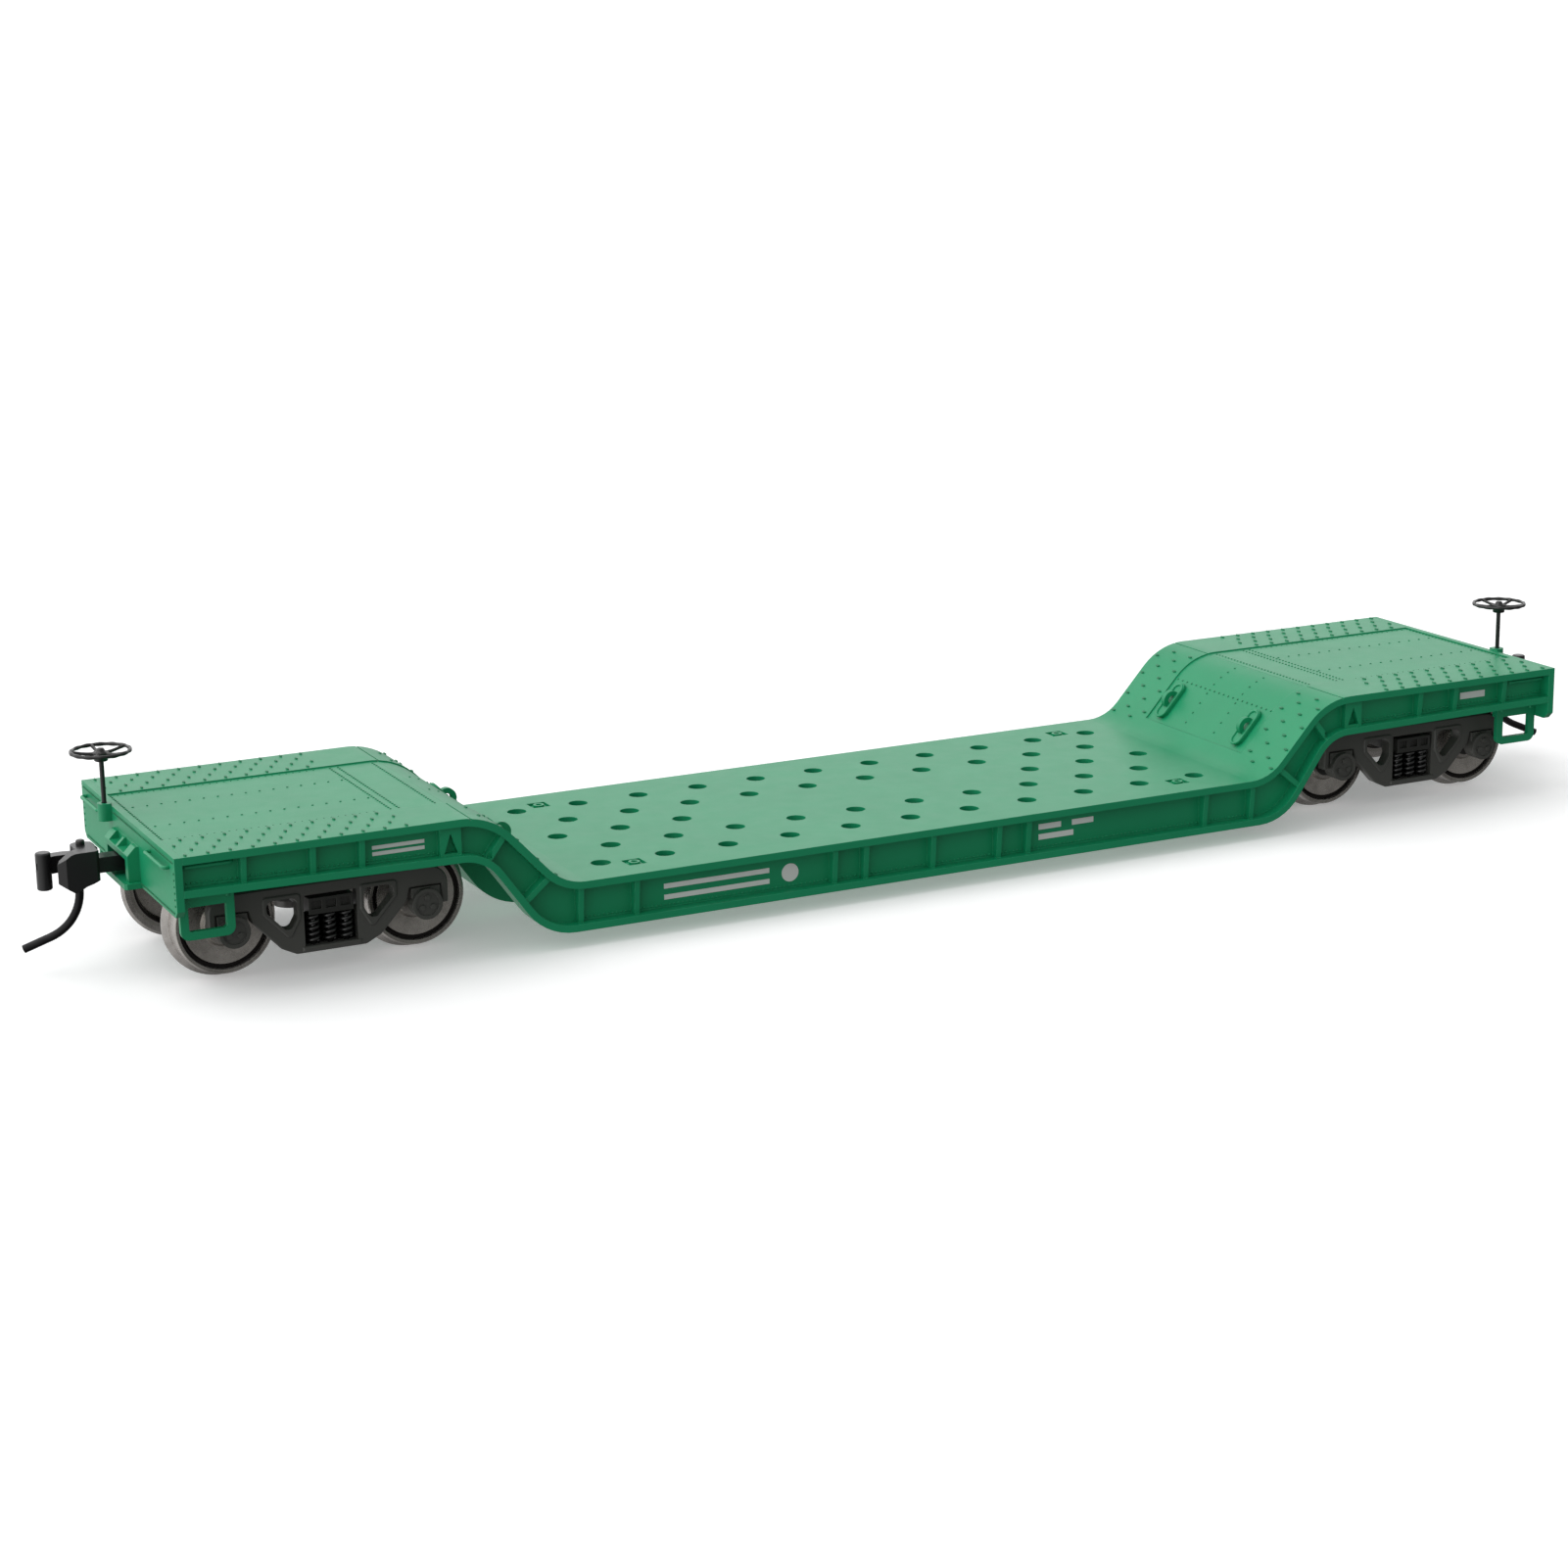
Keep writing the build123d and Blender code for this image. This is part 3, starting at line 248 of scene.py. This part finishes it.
PLATE_METAL = (0.46, 0.435, 0.40)
FACE_METAL = (0.40, 0.385, 0.35)
RIM_METAL = (0.50, 0.475, 0.45)
# Near black for the wheel's groove: painted shade where the groove sits in shadow.
PAINTED_GROOVE_SHADE = (0.02, 0.018, 0.017)
wheel_radius = (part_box("wheels_b_outer")[1].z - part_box("wheels_b_outer")[0].z) / 2


def wheel_bands():
    """Hub, plate, groove painted dark as shade, lip painted bright as a highlight, dull face, tread and
    flange, as shares of the flange radius.
    """
    return (
        # From 0.728 to 0.79 the groove is painted dark as shade; the thin band at 0.803 in the rim colour
        # paints the highlight on the lip.
        (0.0, PLATE_METAL), (0.71, PLATE_METAL), (0.728, PAINTED_GROOVE_SHADE), (0.79, PAINTED_GROOVE_SHADE),
        (0.803, RIM_METAL), (0.82, FACE_METAL), (0.85, FACE_METAL), (0.875, RIM_METAL), (1.0, RIM_METAL),
    )


for name, node in nodes.items():
    low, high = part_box(name)
    if slot_of[name] == "wheel_metal":
        material = turned(f"metal_{name}", (low + high) / 2, wheel_radius, wheel_bands(), 0.27)
    elif slot_of[name] == "axle_steel":
        material = turned(f"metal_{name}", (low + high) / 2, wheel_radius,
                          ((0.0, (0.1, 0.095, 0.09)), (1.0, (0.1, 0.095, 0.09))), 0.35)
    elif name.startswith("trip_pin"):
        material = wire_black
    # Side frames and bearing caps take the copy painted lighter as lit.
    elif name.startswith(("side_frame", "bearing_caps")):
        material = lit_frame_black
    else:
        material = SLOT_MATERIALS[slot_of[name]]
    node.data.materials.clear()
    node.data.materials.append(material)


# ---------------------------------------------------------------- mesh helpers
SUNK = 0.15         # share of a head's height that is sunk into the surface it stands on
COLLAR = 0.3        # share of a dome's height that is straight


def piece(name, vertices, faces, material, body, smooth=True):
    """A new mesh piece, in place, riding on a body."""
    mesh = bpy.data.meshes.new(name)
    mesh.from_pydata([tuple(v) for v in vertices], [], faces)
    mesh.update()
    mesh.materials.append(material)
    if smooth:
        mesh.polygons.foreach_set("use_smooth", [True] * len(mesh.polygons))
    made = bpy.data.objects.new(name, mesh)
    bpy.context.scene.collection.objects.link(made)
    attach(made, body)
    return made


class Shape:
    """Vertices and faces gathered from many small forms into one mesh."""

    def __init__(self):
        self.vertices = []
        self.faces = []

    def add(self, vertices, faces):
        base = len(self.vertices)
        self.vertices += vertices
        self.faces += [tuple(base + index for index in face) for face in faces]

    def dome(self, point, normal, radius, height, around=10, rings=3):
        """Rivet head: a low dome on a short collar, standing on a surface."""
        turn = normal.to_track_quat("Z", "Y").to_matrix()
        vertices = []
        levels = [(1.0, -SUNK)]
        for k in range(rings):
            rise = pi / 2 * k / rings
            levels.append((cos(rise), COLLAR + (1 - COLLAR) * sin(rise)))
        for out, up in levels:
            for k in range(around):
                angle = 2 * pi * k / around
                flat = Vector((out * radius * cos(angle), out * radius * sin(angle), up * height))
                vertices.append(point + turn @ flat)
        vertices.append(point + normal * height)
        faces = []
        for level in range(len(levels) - 1):
            for k in range(around):
                after = (k + 1) % around
                low, high = level * around, (level + 1) * around
                faces.append((low + k, low + after, high + after, high + k))
        last = (len(levels) - 1) * around
        faces += [(last + k, last + (k + 1) % around, len(vertices) - 1) for k in range(around)]
        self.add(vertices, faces)

    def button(self, point, normal, size, around=12):
        """Steep-sided oval head, long across the car, standing on a surface."""
        long_half, short_half, height = size
        across = (Vector((0, 1, 0)) - normal * normal.y).normalized()
        along = normal.cross(across)
        levels = ((1.0, -SUNK), (1.0, 0.5), (0.86, 0.86), (0.5, 1.0))
        vertices = []
        for out, up in levels:
            for k in range(around):
                angle = 2 * pi * k / around
                flat = across * long_half * cos(angle) + along * short_half * sin(angle)
                vertices.append(point + flat * out + normal * (up * height))
        faces = []
        for level in range(len(levels) - 1):
            for k in range(around):
                after = (k + 1) % around
                low, high = level * around, (level + 1) * around
                faces.append((low + k, low + after, high + after, high + k))
        faces.append(tuple(range((len(levels) - 1) * around, len(levels) * around)))
        self.add(vertices, faces)

    def tube(self, points, radius, around=8, closed=False, cap=True):
        """Round bar along a line of points; radius may be one number or one for each point."""
        count = len(points)
        radii = radius if isinstance(radius, (list, tuple)) else [radius] * count
        vertices = []
        side = None
        for index, point in enumerate(points):
            before = points[index - 1] if index or closed else point
            after = points[(index + 1) % count] if index < count - 1 or closed else point
            along = (after - before).normalized()
            if side is None:
                side = along.orthogonal().normalized()
            side = (side - along * side.dot(along)).normalized()
            across = along.cross(side)
            for k in range(around):
                angle = 2 * pi * k / around
                vertices.append(point + (side * cos(angle) + across * sin(angle)) * radii[index])
        faces = []
        for index in range(count if closed else count - 1):
            low, high = index * around, (index + 1) % count * around
            for k in range(around):
                after = (k + 1) % around
                faces.append((low + k, low + after, high + after, high + k))
        if cap and not closed:
            faces.append(tuple(reversed(range(around))))
            faces.append(tuple(range((count - 1) * around, count * around)))
        self.add(vertices, faces)

    def turn(self, profile, centre, axis="Z", around=32):
        """Solid of revolution of (radius, height) points about an axis through centre."""
        vertices, rings = [], []
        for out, up in profile:
            if out < 1e-9:
                rings.append([len(vertices)])
                vertices.append(centre + spin(0, 0, up, axis))
            else:
                rings.append(list(range(len(vertices), len(vertices) + around)))
                vertices += [centre + spin(out, 2 * pi * k / around, up, axis) for k in range(around)]
        faces = []
        for low, high in zip(rings, rings[1:]):
            for k in range(around):
                after = k + 1
                quad = [low[k % len(low)], low[after % len(low)], high[after % len(high)], high[k % len(high)]]
                faces.append(tuple(dict.fromkeys(quad)))
        self.add(vertices, [face for face in faces if len(face) > 2])

    def block(self, low, high, edge=0.06 * MM):
        """Box between two corners, its edges cut by a small flat."""
        middle = (low + high) / 2
        half = (high - low) / 2
        corners = {}
        vertices = []
        for sx in (-1, 1):
            for sy in (-1, 1):
                for sz in (-1, 1):
                    for axis in range(3):
                        sign = Vector((sx, sy, sz))
                        point = Vector((sx * half.x, sy * half.y, sz * half.z)) - sign * edge
                        point[axis] = sign[axis] * half[axis]
                        corners[sx, sy, sz, axis] = len(vertices)
                        vertices.append(middle + point)
        signs = (-1, 1)
        faces = []
        for axis in range(3):
            u, v = (axis + 1) % 3, (axis + 2) % 3
            for sign in signs:
                def key(su, sv):
                    place = [0, 0, 0]
                    place[axis], place[u], place[v] = sign, su, sv
                    return corners[place[0], place[1], place[2], axis]
                ring = [key(-1, -1), key(1, -1), key(1, 1), key(-1, 1)]
                faces.append(tuple(ring if sign > 0 else reversed(ring)))
            for su in signs:
                for sv in signs:
                    def edge_key(along, face_axis):
                        place = [0, 0, 0]
                        place[axis], place[u], place[v] = along, su, sv
                        return corners[place[0], place[1], place[2], face_axis]
                    ring = [edge_key(-1, u), edge_key(1, u), edge_key(1, v), edge_key(-1, v)]
                    faces.append(tuple(ring if su * sv > 0 else reversed(ring)))
        for sx in signs:
            for sy in signs:
                for sz in signs:
                    ring = [corners[sx, sy, sz, axis] for axis in range(3)]
                    faces.append(tuple(ring if sx * sy * sz > 0 else reversed(ring)))
        self.add(vertices, faces)

    def make(self, name, material, body, slot, smooth=True):
        return piece(name, self.vertices, self.faces, material, body, smooth)


def spin(out, angle, up, axis):
    """Point at a radius, angle and height about an axis."""
    if axis == "Y":
        return Vector((out * cos(angle), up, -out * sin(angle)))
    return Vector((out * cos(angle), out * sin(angle), up))


def surface_of(name):
    mesh = nodes[name].data
    return BVHTree.FromPolygons([v.co for v in mesh.vertices], [p.vertices[:] for p in mesh.polygons])


RIVETED = ("deck", "side_sill_left", "side_sill_right", "end_sill_a", "end_sill_b")
SURFACES = {name: surface_of(name) for name in RIVETED}


def cast(name, start, along):
    """Where a straight line first meets a CAD node, and the outward normal there."""
    point, normal, _, _ = SURFACES[name].ray_cast(start, along)
    if point is None:
        return None, None
    return point, normal if normal.dot(along) < 0 else -normal


def onto_deck(x, y):
    return cast("deck", Vector((x, y, 0.03)), Vector((0, 0, -1)))


def onto_side(side, x, z):
    outwards = SIDES[side]
    return cast(f"side_sill_{side}", Vector((x, outwards * 0.03, z)), Vector((0, -outwards, 0)))


def onto_end(end, y, z):
    outwards = ENDS[end]
    return cast(f"end_sill_{end}", Vector((outwards * 0.1, y, z)), Vector((-outwards, 0, 0)))


# ---------------------------------------------------------------- rivets
deck_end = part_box("deck")[1].x
BIG_RIVET = (0.38 * MM, 0.14 * MM, 0.16 * MM)      # half length, half width, height
SMALL_RIVET = (0.13 * MM, 0.09 * MM)               # radius, height
WEB_RIVET = (0.13 * MM, 0.10 * MM)
FINE_RIVET = (0.09 * MM, 0.06 * MM)

# In millimetres, for one quarter of the deck: rows on the side strips, each y with the x of its heads.
RAISED_ROWS = ((11.1, 61.1), (13.05, 60.0), (15.05, 61.1), (16.9, 60.0))
RAISED_STOP, RAISED_PITCH = 83.0, 2.27
OUTER_SLOPE = (45.05, 47.2, 49.3, 51.6)
INNER_SLOPE = (44.15, 46.15, 48.27, 50.4)
SLOPE_ROWS = ((11.35, OUTER_SLOPE), (13.15, INNER_SLOPE), (15.0, OUTER_SLOPE), (16.9, INNER_SLOPE))

# Lines of small heads: along the car y, first x, last x, pitch and head; across it x, furthest y and pitch.
LINES_ALONG = (
    (4.2, 59.6, 82.4, 1.5, SMALL_RIVET),
    (9.75, 60.9, 82.4, 0.76, FINE_RIVET),
    (3.0, 45.6, 52.6, 0.98, SMALL_RIVET),
)
LINES_ACROSS = (
    (48.9, 9.8, 0.98), (54.3, 9.6, 0.64), (58.2, 9.6, 0.64), (59.1, 9.6, 0.64), (82.95, 9.75, 0.65),
)

WEB_PITCH = 0.5                # heads along the foot of a web
WELL_WEB = (0.6, 41.2, 2.82)   # first x, last x and height in the well
RAISED_WEB = (57.0, 83.2, 12.0)
RAISED_WEB_RISE = 0.0175       # of the sloping flange under the raised deck
SILL_FACE = 16.2 * MM          # beyond this |y| a line meets a rib instead of the web

END_ROWS = ((17.0, 14.95), (16.6, 9.75))    # half length and height of the rows on an end plate
END_PITCH = 0.47
END_SIDE_Y, END_SIDE_PITCH = 17.15, 0.66
END_SIDE_Z = (10.6, 14.4)
END_DEPTH = 0.85 * MM          # furthest that a head stands out from the end of the deck


def steps(start, stop, pitch):
    """Evenly spaced values from start, not beyond stop."""
    count = int((stop - start) / pitch + 1e-6)
    return [start + pitch * k for k in range(count + 1)]


def deck_rivets():
    """Staggered rows of large heads on the side strips, and lines of small ones on the centre plates."""
    big, small = Shape(), Shape()
    for end in ENDS.values():
        for side in SIDES.values():
            for y, start in RAISED_ROWS:
                for x in steps(start, RAISED_STOP, RAISED_PITCH):
                    big.button(*onto_deck(end * x * MM, side * y * MM), BIG_RIVET)
            for y, places in SLOPE_ROWS:
                for x in places:
                    big.button(*onto_deck(end * x * MM, side * y * MM), BIG_RIVET)
            for y, first, last, pitch, head in LINES_ALONG:
                around = 6 if head is FINE_RIVET else 7
                for x in steps(first, last, pitch):
                    small.dome(*onto_deck(end * x * MM, side * y * MM), *head, around=around, rings=2)
        for x, reach, pitch in LINES_ACROSS:
            for y in steps(-reach, reach, pitch):
                small.dome(*onto_deck(end * x * MM, y * MM), *SMALL_RIVET, around=7, rings=2)
    big.make("deck_rivets", shaded_rivet_green, "car", "green_body")
    small.make("deck_rivet_lines", shaded_rivet_green, "car", "green_body")


def side_rivets():
    """Small heads along the foot of the web between the ribs, and along the sloping flanges."""
    for side in SIDES:
        rows = Shape()
        for end in ENDS.values():
            first, last, foot = WELL_WEB
            places = [(x, foot) for x in steps(first, last, WEB_PITCH)]
            first, last, foot = RAISED_WEB
            places += [(x, foot + RAISED_WEB_RISE * (x - first)) for x in steps(first, last, WEB_PITCH)]
            for x, z in places:
                point, normal = onto_side(side, end * x * MM, z * MM)
                if point and abs(point.y) < SILL_FACE:
                    rows.dome(point, normal, *WEB_RIVET, around=6, rings=2)
        rows.make(f"side_rivets_{side}", green, "car", "green_body")


def end_rivets():
    """Small heads along the top, foot and sides of each end plate."""
    for end in ENDS:
        rows = Shape()
        places = [(y, z) for reach, z in END_ROWS for y in steps(-reach, reach, END_PITCH)]
        places += [(side * END_SIDE_Y, z) for side in (-1, 1) for z in steps(*END_SIDE_Z, END_SIDE_PITCH)]
        for y, z in places:
            point, normal = onto_end(end, y * MM, z * MM)
            if point and abs(point.x) - deck_end < END_DEPTH:
                rows.dome(point, normal, *WEB_RIVET, around=7, rings=2)
        rows.make(f"end_rivets_{end}", shaded_rivet_green, "car", "green_body")


deck_rivets()
side_rivets()
end_rivets()


# ---------------------------------------------------------------- truck springs
def springs(end):
    """Six round-wire coils in place of the plain spring columns, each round a dark core, before a plate."""
    node = f"truck_springs_{end}"
    low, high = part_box(node)
    wire, outer = 0.19 * MM, 0.72 * MM
    turns, per_turn = 5, 20
    plate_faces, plate_half = (11.72, 11.9), 2.82
    lap = 0.05 * MM
    middle = (low.x + high.x) / 2
    step = (high.x - low.x) / 2 - outer
    coils = Shape()
    for y in (low.y + outer, high.y - outer):
        for x in (middle - step, middle, middle + step):
            line = []
            for k in range(turns * per_turn + 1):
                share = k / (turns * per_turn)
                angle = 2 * pi * turns * share
                height = low.z + wire + (high.z - low.z - 2 * wire) * share
                reach = outer - wire
                line.append(Vector((x + reach * cos(angle), y + reach * sin(angle), height)))
            coils.tube(line, wire)
            core = outer - 2.2 * wire
            profile = ((0, low.z), (core, low.z), (core, high.z), (0, high.z))
            coils.turn(profile, Vector((x, y, 0)), around=14)
    for side in (-1, 1):
        behind = sorted(side * face * MM for face in plate_faces)
        coils.block(Vector((middle - plate_half * MM, behind[0], low.z - lap)),
                    Vector((middle + plate_half * MM, behind[1], high.z + lap)), 0.03 * MM)
    made = coils.make(f"spring_coils_{end}", spring_black, f"truck_{end}", "truck_black")
    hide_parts(node)


for end in ENDS:
    springs(end)


# ---------------------------------------------------------------- brake wheels
def brake_wheel(end):
    """Dished wheel with five bent spokes and a flared hub, in place of the plain one."""
    node = f"brake_wheel_{end}"
    low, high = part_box(node)
    centre = (low + high) / 2
    rim_wire, rim_wave, grips = 0.2 * MM, 0.12, 14
    hub_reach, dish = 0.35 * MM, 0.32 * MM
    rim_radius = (high.x - low.x) / 2 - rim_wire
    rim_height = high.z - 0.3 * MM
    wheel = Shape()
    around = 112
    rim = [Vector((centre.x + rim_radius * cos(2 * pi * k / around),
                   centre.y + rim_radius * sin(2 * pi * k / around), rim_height)) for k in range(around)]
    radii = [rim_wire * (1.0 + rim_wave * cos(2 * pi * grips * k / around)) for k in range(around)]
    wheel.tube(rim, radii, closed=True)
    for k in range(5):
        angle = 2 * pi * (k + 0.3) / 5
        out = Vector((cos(angle), sin(angle), 0))
        line = []
        for share in (0.0, 0.2, 0.4, 0.6, 0.8, 1.0):
            reach = hub_reach + (rim_radius - hub_reach) * share
            dip = -dish * cos(pi / 2 * share)
            line.append(Vector((centre.x, centre.y, rim_height + dip)) + out * reach)
        wheel.tube(line, [0.24 * MM, 0.21 * MM, 0.18 * MM, 0.17 * MM, 0.18 * MM, 0.2 * MM], around=8)
    hub_foot = low.z
    profile = (
        (0.0, hub_foot), (0.64 * MM, hub_foot),
        (0.71 * MM, hub_foot + 0.07 * MM), (0.71 * MM, hub_foot + 0.68 * MM),
        (0.86 * MM, hub_foot + 0.8 * MM), (0.84 * MM, hub_foot + 0.92 * MM), (0.5 * MM, hub_foot + 1.0 * MM),
        (0.4 * MM, high.z - 0.14 * MM), (0.34 * MM, high.z - 0.03 * MM), (0.0, high.z),
    )
    wheel.turn(profile, Vector((centre.x, centre.y, 0)), around=24)
    made = wheel.make(f"hand_wheel_{end}", brake_black, f"brake_{end}", "brake_black")
    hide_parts(node)


for end in ENDS:
    brake_wheel(end)


# ---------------------------------------------------------------- bolts, lug rims and painted marks
def step_bolts():
    """Bolt heads that hold each stirrup step to the sill."""
    legs, height = (78.25, 82.5), 10.55 * MM
    step_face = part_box("stirrup_steps")[1].y
    for side, outwards in SIDES.items():
        heads = Shape()
        for end in ENDS.values():
            for x in legs:
                face = Vector((end * x * MM, outwards * step_face, height))
                heads.dome(face, Vector((0, outwards, 0)), 0.26 * MM, 0.2 * MM, around=6, rings=2)
        heads.make(f"step_bolts_{side}", green, "car", "green_body")


def lug_rims():
    """Raised oval rim around the foot of each lashing lug on the slopes."""
    rims = Shape()
    half, radius, bar = 1.55 * MM, 0.80 * MM, 0.16 * MM
    lug_x, lug_y, lift = 46.8 * MM, 8.0 * MM, 0.42 * MM
    for end in ENDS.values():
        for side in SIDES.values():
            middle, normal = onto_deck(end * lug_x, side * lug_y)
            across = Vector((0, 1, 0))
            up = normal.cross(across).normalized()
            line = []
            for k in range(32):
                angle = 2 * pi * k / 32
                reach = up * (radius * cos(angle) + copysign(half, cos(angle)))
                line.append(middle + normal * lift + reach + across * radius * sin(angle))
            rims.tube(line, bar, around=8, closed=True)
    rims.make("lug_rims", green, "car", "green_body")


def painted_marks():
    """Plain bars and a dot of white paint where the webs are marked."""
    bars = (
        (-31.7, -19.4, 4.55, 5.1), (-31.7, -19.4, 3.35, 3.9),
        (-63.45, -57.9, 13.2, 13.6), (-63.45, -57.9, 12.55, 12.95),
        (13.8, 16.7, 4.75, 5.4), (18.1, 20.9, 4.75, 5.4), (13.8, 18.3, 3.6, 4.25),
        (71.3, 74.9, 12.85, 13.65),
    )
    paint = 0.03 * MM
    dot_x, dot_z, dot_radius = -16.95 * MM, 4.25 * MM, 1.0 * MM
    for side, outwards in SIDES.items():
        marks = Shape()
        for left, right, low, high in bars:
            ends = sorted((-outwards * left * MM, -outwards * right * MM))
            point, _ = onto_side(side, sum(ends) / 2, (low + high) / 2 * MM)
            faces = sorted((point.y - outwards * paint, point.y + outwards * paint))
            corners = (Vector((ends[0], faces[0], low * MM)), Vector((ends[1], faces[1], high * MM)))
            marks.block(*corners, 0.01 * MM)
        dot, _ = onto_side(side, -outwards * dot_x, dot_z)
        profile = ((0.0, -paint), (dot_radius, -paint), (dot_radius, paint), (0.0, paint))
        marks.turn(profile, dot, "Y", 40)
        marks.make(f"painted_marks_{side}", white_print, "car", "green_body", smooth=False)


step_bolts()
lug_rims()
painted_marks()


# ---------------------------------------------------------------- camera, light and floor
def studio():
    """Pale floor, soft light from above, behind and the left, and a camera looking at the near corner."""
    scene = bpy.context.scene
    scene.view_settings.view_transform = "Standard"
    camera = bpy.data.objects.new("camera", bpy.data.cameras.new("camera"))
    scene.collection.objects.link(camera)
    stand = (-162.78 * MM, -312.68 * MM, 99.81 * MM)
    heading, pitch, roll = radians(26.099), radians(14.555), radians(0.94)
    turn = Matrix.Rotation(-heading, 4, "Z") @ Matrix.Rotation(pi / 2 - pitch, 4, "X")
    camera.matrix_world = Matrix.Translation(stand) @ turn @ Matrix.Rotation(-roll, 4, "Z")
    camera.data.sensor_width = 36.0
    camera.data.lens = 73.96
    camera.data.clip_start = 0.01
    scene.camera = camera

    world = bpy.data.worlds.new("studio")
    world.use_nodes = True
    sky = world.node_tree
    place = sky.nodes.new("ShaderNodeTexCoord")
    split = sky.nodes.new("ShaderNodeSeparateXYZ")
    sky.links.new(place.outputs["Generated"], split.inputs["Vector"])
    total = spread(sky, split.outputs["Z"], 0.14, 0.50, -0.2, 0.5)    # brighter upwards
    behind = spread(sky, split.outputs["Y"], 0.0, 0.24, -0.3, 0.9)
    left = spread(sky, split.outputs["X"], 0.85, 0.0, -0.9, 0.0)
    for part in (behind, left):
        both = sky.nodes.new("ShaderNodeMath")
        sky.links.new(total, both.inputs[0])
        sky.links.new(part, both.inputs[1])
        total = both.outputs["Value"]
    sky.links.new(total, sky.nodes["Background"].inputs["Strength"])
    sky.nodes["Background"].inputs["Color"].default_value = (1, 1, 1, 1)
    scene.world = world

    def lamp(name, kind, place, aim):
        made = bpy.data.objects.new(name, bpy.data.lights.new(name, kind))
        made.location = place
        made.rotation_euler = (Vector(aim) - Vector(place)).to_track_quat("-Z", "Y").to_euler()
        made.visible_camera = False
        scene.collection.objects.link(made)
        return made.data

    key = lamp("key", "SUN", (-0.4, 0.15, 0.9), (0, 0, 0))
    key.energy = 0.95
    key.angle = radians(60)
    sheen = lamp("back_softbox", "AREA", (0.3, 1.15, 0.40), (0, 0, 0.05))
    sheen.shape = "RECTANGLE"
    sheen.size, sheen.size_y = 3.0, 0.6
    sheen.energy = 4.2

    half = 9.0
    corners = [(-half, -half, 0), (half, -half, 0), (half, half, 0), (-half, half, 0)]
    floor = bpy.data.meshes.new("floor")
    floor.from_pydata(corners, [], [(0, 1, 2, 3)])
    material, tree, principled = shader("floor_paper")
    paper = ramp(tree, noise(tree, 4 * MM, detail=3.0), (0.85, 0.85, 0.855), (0.87, 0.87, 0.875))
    tree.links.new(paper, principled.inputs["Base Color"])
    principled.inputs["Roughness"].default_value = 0.85
    principled.inputs["Emission Color"].default_value = (1, 1, 1, 1)
    principled.inputs["Emission Strength"].default_value = 0.26
    floor.materials.append(material)
    made = bpy.data.objects.new("floor", floor)
    made.visible_diffuse = False
    made.visible_glossy = False
    scene.collection.objects.link(made)


studio()
